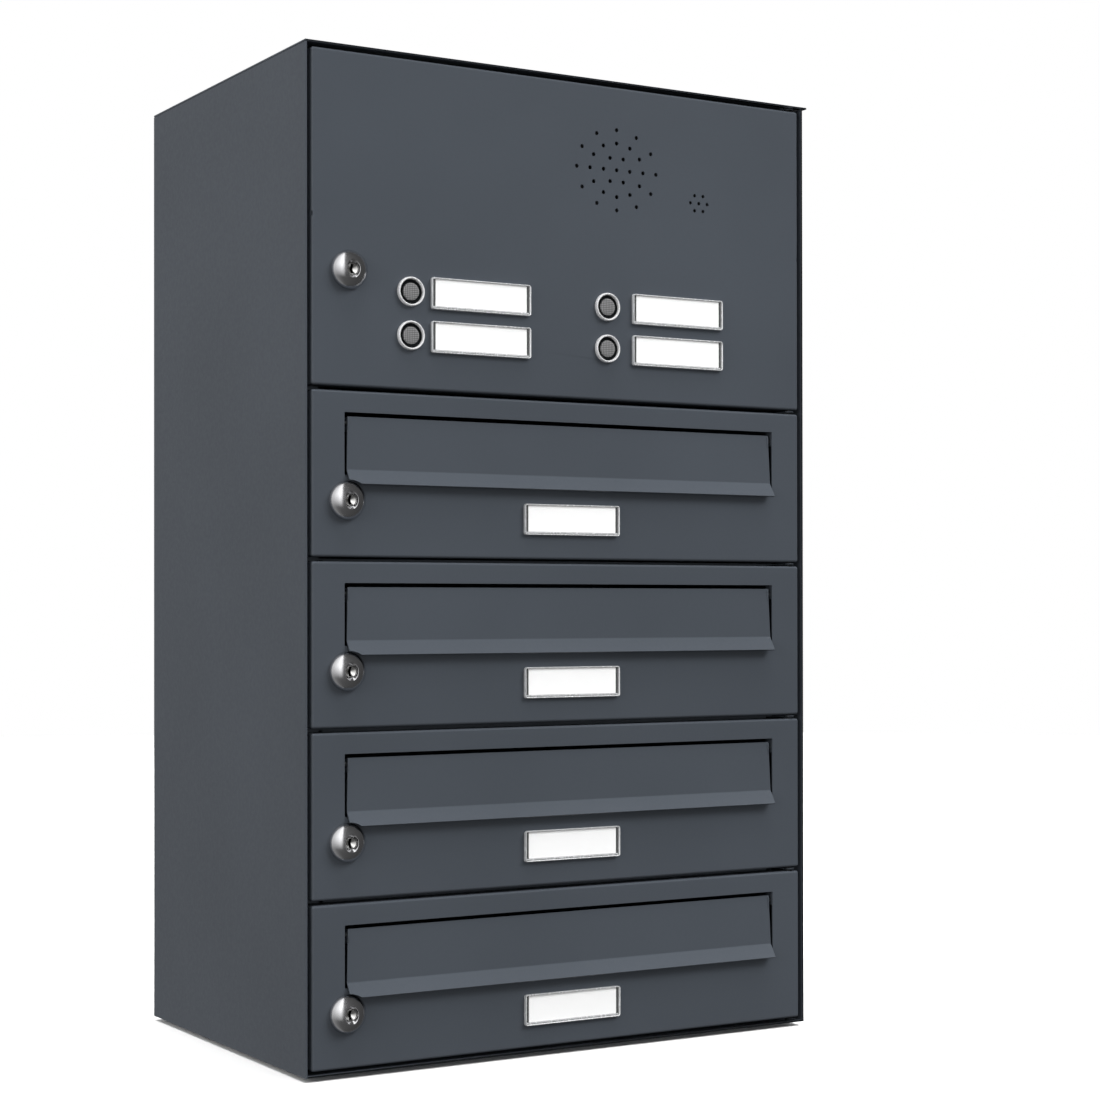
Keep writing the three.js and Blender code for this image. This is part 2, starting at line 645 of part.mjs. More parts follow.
// Round loudspeaker: mounting flange, basket and magnet, with the cone open to the front.
function speakerDriver() {
  const y = SPEECH_BOX.y0 + SPEECH_WALL + CLEARANCE;
  const driver = SPEAKER_DRIVER;
  return turned([
    [0, y + driver.coneDepth],
    [driver.dustCapRadius, y + driver.coneDepth],
    [driver.coneRadius, y + driver.coneMouth],
    [driver.coneRadius, y],
    [driver.flangeRadius, y],
    [driver.flangeRadius, y + driver.flange],
    [driver.magnetRadius, y + driver.magnetStart],
    [driver.magnetRadius, y + driver.length],
    [0, y + driver.length],
  ]).translate([SPEAKER.x, 0, SPEAKER.z]);
}

function microphoneCapsule() {
  const y = SPEECH_BOX.y0 + SPEECH_WALL + CLEARANCE;
  const { radius, length } = MICROPHONE_CAPSULE;
  return cylinderY(radius, y, y + length, MICROPHONE.x, MICROPHONE.z, 16);
}

// ---- assembly -----------------------------------------------------------------------------

function addCasing(model) {
  addPart(model, 'left_side_panel', sidePanel(-1), paint);
  addPart(model, 'right_side_panel', sidePanel(1), paint);
  addPart(model, 'roof_panel', roofPanel(), paint);
  addPart(model, 'base_panel', basePanel(), paint);
  addPart(model, 'back_panel', backPanel(), paint);
  addPart(model, 'strike_strip', strikeStrip(), paint);
  addPart(model, 'hinge_rod', hingeRod(), stainless);
}

function addIntercom(model) {
  const group = subGroup(model, 0, FRONT, TOP_LINE);
  addPart(group, 'intercom_door', intercomDoor(), paint);
  addPart(group, 'speech_housing', speechHousing(), blackPlastic);
  addPart(group, 'speech_cover', speechCover(), blackPlastic);
  addPart(group, 'speaker_driver', speakerDriver(), greyPlastic);
  addPart(group, 'microphone_capsule', microphoneCapsule(), galvanised);
  addLock(group, 'intercom', '', INTERCOM_LOCK);
  BELL_COLUMNS.forEach(({ buttonX, labelX }, column) => BELL_ROWS.forEach((z, row) => {
    const number = column * BELL_ROWS.length + row + 1;
    const button = subGroup(group, buttonX, 0, z);
    addPart(button, `bell_ring_${number}`, bellRing(), stainless);
    addPart(button, `bell_cap_${number}`, bellCap(), greyPlastic);
    addPart(subGroup(group, labelX, 0, z), `bell_window_${number}`, labelWindow(), clearPlastic);
  }));
}

function addMailbox(model, number) {
  const top = TOP_LINE - INTERCOM_HEIGHT - (number - 1) * MODULE_HEIGHT;
  addPart(subGroup(model, 0, 0, top), `shelf_${number}`, shelf(), paint);
  const group = subGroup(model, 0, FRONT, top);
  const bottomGap = number === MAILBOX_COUNT ? DOOR_BASE_GAP : DOOR_END_GAP;
  addPart(group, `mailbox_door_${number}`, mailboxDoor(bottomGap), paint);
  addPart(group, `letter_flap_${number}`, letterFlap(), paint);
  addPart(group, `flap_rod_${number}`, flapRod(), stainless);
  addPart(
    subGroup(group, NAME_LABEL.x, 0, -NAME_LABEL.drop),
    `name_window_${number}`, labelWindow(), clearPlastic,
  );
  addLock(group, 'mailbox', `_${number}`, LOCK);
}

const model = new THREE.Group();
addCasing(model);
addIntercom(model);
for (let number = 1; number <= MAILBOX_COUNT; number += 1) addMailbox(model, number);

export default model;
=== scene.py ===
"""Looks of the cluster mailbox unit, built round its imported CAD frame.

Each piece is drawn in millimetres in a frame of its own, whose place comes from the CAD boxes, and
is written to its mesh in metres. Front pieces use local x to the right, y up and z out of the door.
"""

import math

import bmesh
import bpy
from mathutils import Matrix, Vector


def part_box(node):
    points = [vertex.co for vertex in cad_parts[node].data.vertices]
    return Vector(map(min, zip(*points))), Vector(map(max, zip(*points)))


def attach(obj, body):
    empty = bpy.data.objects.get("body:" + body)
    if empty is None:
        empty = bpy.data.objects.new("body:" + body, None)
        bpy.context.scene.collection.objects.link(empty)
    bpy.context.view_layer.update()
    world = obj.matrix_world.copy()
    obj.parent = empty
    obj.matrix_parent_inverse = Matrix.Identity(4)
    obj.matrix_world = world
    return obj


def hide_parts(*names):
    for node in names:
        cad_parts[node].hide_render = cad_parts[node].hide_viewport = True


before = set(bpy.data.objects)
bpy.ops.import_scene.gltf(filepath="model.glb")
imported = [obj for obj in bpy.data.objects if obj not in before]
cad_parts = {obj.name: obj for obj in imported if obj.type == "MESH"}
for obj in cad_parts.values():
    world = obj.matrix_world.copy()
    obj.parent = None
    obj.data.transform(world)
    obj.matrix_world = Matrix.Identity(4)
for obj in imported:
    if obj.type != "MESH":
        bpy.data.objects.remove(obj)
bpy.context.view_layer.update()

MM = 0.001
MAILBOXES = (1, 2, 3, 4)
BELLS = (1, 2, 3, 4)
SIDES = ((-1, "left"), (1, "right"))

# From here on, lengths are in millimetres unless a comment says otherwise.
SHEET = 1.2
FOLD_RADIUS = 1.7
FOLD_STEPS = 5
PUNCHED_EDGE = 0.22  # rounding of the doors' edges and holes
MERGE_DISTANCE = 1e-4
SMOOTH_ANGLE = 30.0  # in degrees; edges sharper than this stay sharp in the shading
BEVEL_ANGLE = 40.0  # in degrees; edges sharper than this are rounded


# ---- places ---------------------------------------------------------------------------------

def place_at(point, x_axis, y_axis, z_axis):
    """Matrix from millimetres in a piece's own axes to metres in the row frame."""
    turn = Matrix((x_axis, y_axis, z_axis)).transposed().to_4x4()
    return Matrix.Translation(point) @ turn @ Matrix.Scale(MM, 4)


def facing_front(point):
    return place_at(point, (1, 0, 0), (0, 0, 1), (0, -1, 0))


def facing_back(point):
    return place_at(point, (-1, 0, 0), (0, 0, 1), (0, 1, 0))


def along_x(point):
    return place_at(point, (0, 1, 0), (0, 0, 1), (1, 0, 0))


def along_z(point):
    return place_at(point, (1, 0, 0), (0, 1, 0), (0, 0, 1))


def corners_of(node):
    """A CAD node's lowest and highest corner at rest, in metres."""
    low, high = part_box(node)
    return Vector(low), Vector(high)


def centre_of(node):
    low, high = corners_of(node)
    return (low + high) / 2


def local_box(place, node):
    """Lowest and highest corner of a CAD node in a piece's own millimetres."""
    corners = [place.inverted() @ corner for corner in corners_of(node)]
    return Vector(map(min, zip(*corners))), Vector(map(max, zip(*corners)))


FRONT_Y = corners_of("mailbox_door_1")[0].y  # the plane of all door faces, in metres


# ---- outlines -------------------------------------------------------------------------------

def circle(radius, x=0.0, y=0.0, steps=32):
    angles = [i * 2 * math.pi / steps for i in range(steps)]
    return [(x + radius * math.cos(angle), y + radius * math.sin(angle)) for angle in angles]


def rounded_rectangle(half_x, half_y, radius, x=0.0, y=0.0, steps=4):
    """Anticlockwise outline whose four corners are arcs of equal step count."""
    points = []
    for quarter, (sx, sy) in enumerate(((1, 1), (-1, 1), (-1, -1), (1, -1))):
        for step in range(steps + 1):
            angle = (quarter + step / steps) * math.pi / 2
            points.append((
                x + sx * (half_x - radius) + radius * math.cos(angle),
                y + sy * (half_y - radius) + radius * math.sin(angle),
            ))
    return points


def ring_centres(rings, x, y):
    """Middles of a hole field's holes; each ring is its number of holes and its radius."""
    centres = []
    for count, radius in rings:
        for i in range(count):
            angle = 2 * math.pi * i / count
            reach = HOLE_FIELD_STRETCH * radius
            centres.append((x + reach * math.cos(angle), y + radius * math.sin(angle)))
    return centres


# ---- meshes ---------------------------------------------------------------------------------

def link_to_scene(obj):
    bpy.context.scene.collection.objects.link(obj)


def loop_of(bm, points, z=0.0):
    return [bm.verts.new((x, y, z)) for x, y in points]


def fill(bm, loops):
    """Flat face inside the first loop and outside the others."""
    edges = [bm.edges.new((a, b)) for loop in loops for a, b in zip(loop, loop[1:] + loop[:1])]
    bmesh.ops.triangle_fill(bm, use_beauty=True, edges=edges)


def bridge(bm, first, second):
    """Ring of quads between two loops of the same length."""
    count = len(first)
    for i in range(count):
        j = (i + 1) % count
        bm.faces.new((first[i], first[j], second[j], second[i]))


def loft(bm, rings):
    """Quads between each ring and the next."""
    for first, second in zip(rings, rings[1:]):
        bridge(bm, first, second)


def clean(bm):
    """Merges vertices that meet and removes faces without area."""
    bmesh.ops.remove_doubles(bm, verts=bm.verts, dist=MERGE_DISTANCE)
    bmesh.ops.dissolve_degenerate(bm, dist=MERGE_DISTANCE / 10, edges=bm.edges)


def finished(bm, place, name, material, smooth_angle=SMOOTH_ANGLE):
    """Turns a bmesh in local millimetres into an object of the row frame."""
    clean(bm)
    bm.transform(place)
    mesh = bpy.data.meshes.new(name)
    bm.to_mesh(mesh)
    bm.free()
    mesh.materials.append(material)
    mesh.shade_smooth()
    mesh.set_sharp_from_angle(angle=math.radians(smooth_angle))
    obj = bpy.data.objects.new(name, mesh)
    link_to_scene(obj)
    return obj


def bake_modifiers(obj):
    """Replaces the object's mesh by what its modifiers make of it."""
    depsgraph = bpy.context.evaluated_depsgraph_get()
    mesh = bpy.data.meshes.new_from_object(obj.evaluated_get(depsgraph))
    obj.modifiers.clear()
    obj.data = mesh
    mesh.shade_smooth()
    mesh.set_sharp_from_angle(angle=math.radians(SMOOTH_ANGLE))


def soften(obj, width, segments=2):
    """Rounds the piece's sharp edges by a width in millimetres."""
    bevel = obj.modifiers.new("edges", "BEVEL")
    bevel.width = width * MM
    bevel.segments = segments
    bevel.limit_method = "ANGLE"
    bevel.angle_limit = math.radians(BEVEL_ANGLE)
    bevel.use_clamp_overlap = True
    return bevel


def weigh_normals(obj):
    """Keeps broad faces flat where they run into small folds."""
    weighted = obj.modifiers.new("normals", "WEIGHTED_NORMAL")
    weighted.keep_sharp = True
    weighted.weight = 100


def outward(bm, toward):
    """Points an open shell's faces so that the one furthest along a direction faces that way."""
    bmesh.ops.recalc_face_normals(bm, faces=bm.faces)
    bm.faces.ensure_lookup_table()
    outermost = max(bm.faces, key=lambda face: face.calc_center_median().dot(toward))
    if outermost.normal.dot(toward) < 0:
        bmesh.ops.reverse_faces(bm, faces=bm.faces)


def add_thickness(obj, thickness):
    """Makes a sheet solid; the modelled surface stays its outer side."""
    solid = obj.modifiers.new("sheet", "SOLIDIFY")
    solid.thickness = thickness * MM
    solid.offset = -1
    solid.use_even_offset = True


def tray(name, place, material, half_x, half_y, depth, holes):
    """Sheet-metal tray: a face with holes at z = 0, rounded folds, and sides that go back."""
    bm = bmesh.new()
    inset_x = half_x - FOLD_RADIUS
    inset_y = half_y - FOLD_RADIUS
    corners = [(inset_x, inset_y), (-inset_x, inset_y), (-inset_x, -inset_y), (inset_x, -inset_y)]
    fill(bm, [loop_of(bm, outline) for outline in (corners, *holes)])
    loops = []
    for step in range(FOLD_STEPS + 1):
        angle = math.pi / 2 * step / FOLD_STEPS
        grown = FOLD_RADIUS * math.sin(angle)
        outline = rounded_rectangle(inset_x + grown, inset_y + grown, grown)
        loops.append(loop_of(bm, outline, -FOLD_RADIUS * (1 - math.cos(angle))))
    loops.append(loop_of(bm, rounded_rectangle(half_x, half_y, FOLD_RADIUS), -depth))
    loft(bm, loops)
    clean(bm)
    outward(bm, Vector((0, 0, 1)))
    obj = finished(bm, place, name, material)
    add_thickness(obj, SHEET)
    soften(obj, PUNCHED_EDGE)
    bake_modifiers(obj)
    return obj


def extruded(name, place, material, outlines, z0, z1, soften_by=0.0):
    """Flat plate: the first outline without the others, from z0 to z1."""
    bm = bmesh.new()
    fill(bm, [loop_of(bm, outline, z0) for outline in outlines])
    bottom = list(bm.faces)
    made = bmesh.ops.extrude_face_region(bm, geom=bottom)["geom"]
    moved = [part for part in made if isinstance(part, bmesh.types.BMVert)]
    bmesh.ops.translate(bm, verts=moved, vec=(0, 0, z1 - z0))
    bmesh.ops.recalc_face_normals(bm, faces=bm.faces)
    obj = finished(bm, place, name, material)
    if soften_by:
        soften(obj, soften_by)
        bake_modifiers(obj)
    return obj


def turned(name, place, material, profile, steps=64, smooth_angle=SMOOTH_ANGLE):
    """Surface of revolution about local z; the profile is a list of (radius, z)."""
    bm = bmesh.new()
    loft(bm, [loop_of(bm, circle(radius, steps=steps), z) for radius, z in profile])
    clean(bm)
    bmesh.ops.recalc_face_normals(bm, faces=bm.faces)
    return finished(bm, place, name, material, smooth_angle)


def strip(name, place, material, path, half_length, toward):
    """Bent sheet: an open path in local x-y drawn out along z, thickened away from `toward`."""
    bm = bmesh.new()
    first = loop_of(bm, path, -half_length)
    second = loop_of(bm, path, half_length)
    for i in range(len(path) - 1):
        bm.faces.new((first[i], first[i + 1], second[i + 1], second[i]))
    outward(bm, Vector(toward))
    obj = finished(bm, place, name, material)
    add_thickness(obj, SHEET)
    return obj


def cut_away(obj, tools):
    """Cuts helper solids out of a piece and removes them."""
    for tool in tools:
        boolean = obj.modifiers.new("cut", "BOOLEAN")
        boolean.operation = "DIFFERENCE"
        boolean.solver = "EXACT"
        boolean.object = tool
    bake_modifiers(obj)
    for tool in tools:
        bpy.data.objects.remove(tool)


def pin_profile(radius, length, chamfer):
    """Profile of a plain pin with chamfered ends, for turned()."""
    return [
        (0, 0), (radius - chamfer, 0), (radius, chamfer), (radius, length - chamfer),
        (radius - chamfer, length), (0, length),
    ]


def bend(points, radius, steps=4):
    """The polyline with each inner corner turned into an arc of the radius."""
    path = [points[0]]
    for before, corner, after in zip(points, points[1:], points[2:]):
        corner = Vector(corner)
        back = (Vector(before) - corner).normalized()
        ahead = (Vector(after) - corner).normalized()
        half = back.angle(ahead) / 2
        reach = radius / math.tan(half)
        middle = (back + ahead).normalized() * (radius / math.sin(half)) + corner
        start = corner + back * reach - middle
        end = corner + ahead * reach - middle
        for step in range(steps + 1):
            on_arc = start.lerp(end, step / steps).normalized() * radius + middle
            path.append(tuple(on_arc))
    path.append(points[-1])
    return path


# ---- materials ------------------------------------------------------------------------------

DOTS_PER_METRE = 800
NOISE_MIDDLE = (0.3, 0.7)  # nearly all of a noise texture's values lie between these


def shader(name, color, roughness, metallic=0.0):
    """A new material's node tree and its Principled shader."""
    material = bpy.data.materials.new(name)
    material.use_nodes = True
    tree = material.node_tree
    principled = tree.nodes["Principled BSDF"]
    principled.inputs["Base Color"].default_value = (*color, 1)
    principled.inputs["Roughness"].default_value = roughness
    principled.inputs["Metallic"].default_value = metallic
    return material, tree, principled


def noise(tree, scale, detail=2.0, stretch=(1, 1, 1)):
    """Noise in object space; scale is in cycles per metre."""
    coordinates = tree.nodes.new("ShaderNodeTexCoord")
    mapping = tree.nodes.new("ShaderNodeMapping")
    mapping.inputs["Scale"].default_value = stretch
    texture = tree.nodes.new("ShaderNodeTexNoise")
    texture.inputs["Scale"].default_value = scale
    texture.inputs["Detail"].default_value = detail
    tree.links.new(coordinates.outputs["Object"], mapping.inputs["Vector"])
    tree.links.new(mapping.outputs["Vector"], texture.inputs["Vector"])
    return texture.outputs["Fac"]


def ramp(tree, value, low, high, color_low, color_high):
    """Colour that runs from one to the other as the value goes from low to high."""
    node = tree.nodes.new("ShaderNodeValToRGB")
    node.color_ramp.elements[0].position = low
    node.color_ramp.elements[0].color = (*color_low, 1)
    node.color_ramp.elements[1].position = high
    node.color_ramp.elements[1].color = (*color_high, 1)
    tree.links.new(value, node.inputs["Fac"])
    return node.outputs["Color"]


def spread(tree, value, low, high):
    """The value stretched from its usual middle range to low and high."""
    node = tree.nodes.new("ShaderNodeMapRange")
    node.inputs["From Min"].default_value, node.inputs["From Max"].default_value = NOISE_MIDDLE
    node.inputs["To Min"].default_value = low
    node.inputs["To Max"].default_value = high
    tree.links.new(value, node.inputs["Value"])
    return node.outputs["Result"]


def add_bump(tree, principled, height, strength, distance_mm):
    bump = tree.nodes.new("ShaderNodeBump")
    bump.inputs["Strength"].default_value = strength
    bump.inputs["Distance"].default_value = distance_mm * MM
    tree.links.new(height, bump.inputs["Height"])
    tree.links.new(bump.outputs["Normal"], principled.inputs["Normal"])


def powder_coat(name, color):
    """Fine-textured satin powder coat with a faint orange peel."""
    material, tree, principled = shader(name, color, 0.5)
    darker = [channel * 0.95 for channel in color]
    lighter = [channel * 1.05 for channel in color]
    tone = ramp(tree, noise(tree, 6, 3), 0.35, 0.65, darker, lighter)
    tree.links.new(tone, principled.inputs["Base Color"])
    tree.links.new(spread(tree, noise(tree, 400), 0.44, 0.54), principled.inputs["Roughness"])
    add_bump(tree, principled, noise(tree, 1100, 3), 0.25, 0.05)
    return material


def polished_steel(name, color, roughness, metallic=1.0):
    """Bright metal with faint streaks; less metallic where a rim has to look pale."""
    material, tree, principled = shader(name, color, roughness, metallic)
    streaks = noise(tree, 900, 3, (1, 1, 0.15))
    finish = spread(tree, streaks, roughness * 0.8, roughness * 1.3)
    tree.links.new(finish, principled.inputs["Roughness"])
    add_bump(tree, principled, noise(tree, 1300, 3), 0.12, 0.02)
    return material


def plastic(name, color, roughness, specular=0.5):
    """Finely grained matt surface."""
    material, tree, principled = shader(name, color, roughness)
    principled.inputs["Specular IOR Level"].default_value = specular
    darker = [channel * 0.93 for channel in color]
    tone = ramp(tree, noise(tree, 60, 2), 0.4, 0.6, darker, color)
    tree.links.new(tone, principled.inputs["Base Color"])
    add_bump(tree, principled, noise(tree, 700, 2), 0.15, 0.04)
    return material


def dotted_cap(name, color):
    """Grey button cap with a fine grid of raised dots on its front."""
    material, tree, principled = shader(name, color, 0.45, 0.4)
    coordinates = tree.nodes.new("ShaderNodeTexCoord")
    upright = tree.nodes.new("ShaderNodeMapping")
    upright.inputs["Rotation"].default_value = (math.pi / 2, 0, 0)
    cells = tree.nodes.new("ShaderNodeTexVoronoi")
    cells.voronoi_dimensions = "2D"
    cells.inputs["Scale"].default_value = DOTS_PER_METRE
    cells.inputs["Randomness"].default_value = 0.0
    tree.links.new(coordinates.outputs["Object"], upright.inputs["Vector"])
    tree.links.new(upright.outputs["Vector"], cells.inputs["Vector"])
    dots = cells.outputs["Distance"]
    lighter = [channel * 3.0 for channel in color]
    tone = ramp(tree, dots, 0.25, 0.5, lighter, color)
    tree.links.new(tone, principled.inputs["Base Color"])
    add_bump(tree, principled, dots, -0.6, 0.12)
    return material


def clear_film(name):
    """Nearly invisible film that only adds a soft gloss."""
    material, tree, principled = shader(name, (0.95, 0.96, 0.97), 0.06)
    principled.inputs["Alpha"].default_value = 0.04
    add_bump(tree, principled, noise(tree, 30, 1), 0.05, 0.1)
    return material


def card_paper(name):
    material, tree, principled = shader(name, (0.9, 0.9, 0.9), 0.7)
    tone = ramp(tree, noise(tree, 1500, 2), 0.3, 0.7, (0.92, 0.92, 0.915), (0.97, 0.97, 0.97))
    tree.links.new(tone, principled.inputs["Base Color"])
    add_bump(tree, principled, noise(tree, 2500, 2), 0.1, 0.02)
    return material


PAINT = powder_coat("powder_coat", (0.057, 0.066, 0.079))
# Near-black painted shade, used on casing front edges, label backings, bell grooves and keyways.
PAINTED_SHADE = plastic("painted_shade_black", (0.006, 0.007, 0.008), 0.8, specular=0.12)
STEEL = polished_steel("polished_steel", (0.68, 0.68, 0.695), 0.19)
BEZEL = polished_steel("bell_bezel", (0.86, 0.86, 0.87), 0.26, 0.35)
ZINC = polished_steel("zinc_plate", (0.5, 0.51, 0.52), 0.34)
NICKEL = polished_steel("nickel_plug", (0.72, 0.715, 0.7), 0.2)
SILVER = polished_steel("label_frame", (0.78, 0.79, 0.8), 0.24, 0.45)
BUTTON = dotted_cap("dotted_cap", (0.13, 0.13, 0.132))
BLACK = plastic("black_plastic", (0.02, 0.02, 0.021), 0.5)
RUBBER = plastic("rubber", (0.014, 0.014, 0.014), 0.7)
FILM = clear_film("clear_film")
CARD = card_paper("white_card")
# Dark paint with painted shade: darker than the powder coat, so the rod in the hinge gap reads as
# shade.
DARK_ROD = plastic("rod_dark_with_painted_shade", (0.012, 0.012, 0.013), 0.75)


def dress(obj, *materials):
    """Gives a CAD node new materials; its faces take the first."""
    obj.data.materials.clear()
    for material in materials:
        obj.data.materials.append(material)


def belongs(obj, body, slot, *nodes):
    """The piece moves with a body and stands for the CAD nodes, which are hidden; the slot is not
    used.
    """
    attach(obj, body)
    if nodes:
        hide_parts(*nodes)


# ---- casing ---------------------------------------------------------------------------------

FRONT_EDGE_DEPTH = 8.0  # faces less than this far behind the door faces count as a front edge and get painted shade
RAW_EDGE = 0.35  # rounding of the casing's sheet edges
CABLE_ENTRY_HEIGHT = 0.56  # in metres
GROMMET_PROFILE = (
    (11.5, -0.4), (11.9, 0.0), (14.9, 0.0), (14.9, -1.3), (18.0, -1.4), (18.2, -2.0),
    (17.4, -3.2), (13.0, -4.4), (11.8, -4.2), (11.5, -3.6), (11.5, -0.4),
)


def paint_front_edge_shade(obj):
    """Paints shade on a sheet's front edge: its faces there take the second material, a near-black
    painted shade.
    """
    for face in obj.data.polygons:
        middle = obj.matrix_world @ face.center
        face.material_index = int(middle.y < FRONT_Y + FRONT_EDGE_DEPTH * MM)


def dress_casing():
    """CAD sheets that are right as they are: painted, with their raw edges broken and painted shade
    on their front edges.
    """
    sheets = [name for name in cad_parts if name.endswith("_panel") or "shelf" in name]
    for name in (*sheets, "strike_strip"):
        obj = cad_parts[name]
        dress(obj, PAINT, PAINTED_SHADE)
        if name != "left_side_panel":  # its front edge shows light, so it gets no painted shade
            paint_front_edge_shade(obj)
        weld = obj.modifiers.new("weld", "WELD")
        weld.merge_threshold = 0.01 * MM
        bevel = soften(obj, RAW_EDGE, 3)
        bevel.material = 0  # the rounding is painted like the faces
        weigh_normals(obj)


def hinge_rod():
    """The rod on the right that all doors turn on."""
    low, high = corners_of("hinge_rod")
    middle = (low + high) / 2
    radius = (high.x - low.x) / 2 / MM
    length = (high.z - low.z) / MM
    place = along_z((middle.x, middle.y, low.z))
    # the rod is near-black: its dark paint plus painted shade for the hinge gap
    rod = turned("hinge_pin", place, DARK_ROD, pin_profile(radius, length, 0.5), 32)
    belongs(rod, "casing", "anthracite_paint", "hinge_rod")


def cable_grommet():
    """Rubber ring in the back panel's cable entry, flush with the wall side."""
    wall_side = corners_of("back_panel")[1].y
    place = facing_back((0, wall_side, CABLE_ENTRY_HEIGHT))
    ring = turned("cable_grommet", place, RUBBER, GROMMET_PROFILE, 72, 35)
    belongs(ring, "casing", "black_housing")


# ---- doors ----------------------------------------------------------------------------------

LOCK_HOLE_RADIUS = 9.3
BELL_HOLE_RADIUS = 8.7
HINGE_ROD_CLEARANCE = 0.35
FLAP_PIN_HOLE = 1.85  # radius of the flap pin's hole in lugs and ears
TAB_EDGE = 0.15  # rounding of the lugs' and ears' edges
SLOT_SIDE_GAP = 1.6
SLOT_TOP_GAP = 2.6
LIP_COVER = 6.2  # how far the lip reaches below the slot
LIP_HEIGHT = 9.1
FLAP_LEAN = 1.2  # the flap's top sits this far behind the door's face
FLAP_FOLD_RADIUS = 1.8
FLAP_EDGE = 0.28
FLAP_TOP_INSET = 1.0  # the flap's top edge is this much shorter at each end than its crease
BITE_CLEARANCE = 0.9  # from the CAD lock's rim to the bite in the flap's lip
BITE_SPAN = (-20, 40)  # from behind the door's face to in front of the flap's lip
NICK_BELOW_TOP = 106.9  # from the bell door's top edge to its side nicks
NICK_HEIGHT = 3.0
NICK_DEPTH = 1.0
NICK_SPAN = (-2, 1)  # from behind the door's sheet to in front of it

# Hole fields: each ring's number of holes and radius
SPEAKER_RINGS = ((1, 0.0), (6, 9.2), (12, 18.5), (12, 27.7))
SPEAKER_HOLE_RADIUS = 1.4
MICROPHONE_RINGS = ((1, 0.0), (6, 6.1))
MICROPHONE_HOLE_RADIUS = 1.2
HOLE_FIELD_STRETCH = 1.16  # both fields are wider than high


def rod_hole(tray_object):
    """Helper cylinder on the hinge line, a little wider than the rod and longer than the door."""
    rod_low, rod_high = corners_of("hinge_rod")
    middle = (rod_low + rod_high) / 2
    radius = (rod_high.x - rod_low.x) / 2 / MM + HINGE_ROD_CLEARANCE
    beyond = 5 * MM
    low = min(vertex.co.z for vertex in tray_object.data.vertices) - beyond
    high = max(vertex.co.z for vertex in tray_object.data.vertices) + beyond
    place = along_z((middle.x, middle.y, low))
    return extruded("rod_hole", place, PAINT, [circle(radius, steps=24)], 0, (high - low) / MM)


def door_frame(node):
    """Place of a door's face and its half sizes and depth in millimetres."""
    low, high = corners_of(node)
    place = facing_front(((low.x + high.x) / 2, low.y, (low.z + high.z) / 2))
    size = (high - low) / MM
    return place, size.x / 2, size.z / 2, size.y


def label_hook_slots(place, node):
    """Small upright slots behind both ends of a label's frame."""
    low, high = local_box(place, node)
    middle_y = (low.y + high.y) / 2
    inset = 1.3
    columns = (low.x + inset, high.x - inset)
    return [rounded_rectangle(1.1, 3.5, 0.4, x, middle_y, 2) for x in columns]


def barrel_hole(place, node, radius):
    low, high = local_box(place, node)
    return circle(radius, (low.x + high.x) / 2, (low.y + high.y) / 2, 48)


def mailbox_door(number):
    body = f"mailbox_door_{number}"
    place, half_x, half_y, depth = door_frame(body)
    flap_low, flap_high = local_box(place, f"letter_flap_{number}")
    slot_half_x = flap_high.x + SLOT_SIDE_GAP
    slot_bottom = flap_low.y + LIP_COVER
    slot_top = flap_high.y + SLOT_TOP_GAP
    slot_middle = (slot_top + slot_bottom) / 2
    holes = [rounded_rectangle(slot_half_x, (slot_top - slot_bottom) / 2, 0.6, 0, slot_middle, 2)]
    holes.append(barrel_hole(place, f"mailbox_lock_housing_{number}", LOCK_HOLE_RADIUS))
    holes += label_hook_slots(place, f"name_window_{number}")
    door = tray(f"door_{number}", place, PAINT, half_x, half_y, depth, holes)
    cut_away(door, [rod_hole(door)])
    weigh_normals(door)
    belongs(door, body, "anthracite_paint", body)
    rod = place.inverted() @ centre_of(f"flap_rod_{number}")
    for side, name in SIDES:
        flap_lug(f"rod_lug_{number}_{name}", body, place, side, slot_half_x, slot_top, rod)


def flap_lug(name, body, place, side, x, top, rod):
    """Small folded tab behind the door's face that carries the flap's pin."""
    # local x runs back from the door's face, y up, z along the pin
    lug_place = place @ Matrix.Translation((side * x, 0, 0)) @ Matrix.Rotation(math.pi / 2, 4, "Y")
    half_depth = 3.6
    height = 10.0
    outline = rounded_rectangle(half_depth, height / 2, 1.2, SHEET + half_depth, top - height / 2)
    hole = circle(FLAP_PIN_HOLE, -rod.z, rod.y, 24)
    low, high = sorted((0.0, side * SHEET))
    lug = extruded(name, lug_place, PAINT, [outline, hole], low, high, TAB_EDGE)
    belongs(lug, body, "anthracite_paint")


def flap_rod(number):
    node = f"flap_rod_{number}"
    low, high = corners_of(node)
    middle = (low + high) / 2
    radius = (high.y - low.y) / 2 / MM
    length = (high.x - low.x) / MM
    place = along_x((low.x, middle.y, middle.z))
    rod = turned(f"flap_pin_{number}", place, ZINC, pin_profile(radius, length, 0.4), 24)
    belongs(rod, f"mailbox_door_{number}", "galvanised_steel", node)


def letter_flap(number):
    """Folded flap with its lip, an ear at each end and a bite in the lip round the lock."""
    body = f"letter_flap_{number}"
    low, high = corners_of(body)
    place = along_x((0, FRONT_Y, high.z))
    half = (high.x - low.x) / 2 / MM
    reach = (low.y - FRONT_Y) / MM
    bottom = (low.z - high.z) / MM
    lip_end = bottom + SHEET * math.sin(math.atan2(-reach, LIP_HEIGHT))
    path = bend([(FLAP_LEAN, 0), (0, lip_end + LIP_HEIGHT), (reach, lip_end)], FLAP_FOLD_RADIUS)
    flap = strip(f"flap_{number}", place, PAINT, path, half, toward=(-1, 0, 0))
    narrow_top(flap)
    soften(flap, FLAP_EDGE)
    bake_modifiers(flap)
    cut_away(flap, [lock_bite(f"mailbox_lock_housing_{number}")])
    weigh_normals(flap)
    belongs(flap, body, "anthracite_paint", body)
    rod = place.inverted() @ centre_of(f"flap_rod_{number}")
    for side, name in SIDES:
        flap_ear(f"flap_ear_{number}_{name}", body, place, side, half - FLAP_TOP_INSET, rod)


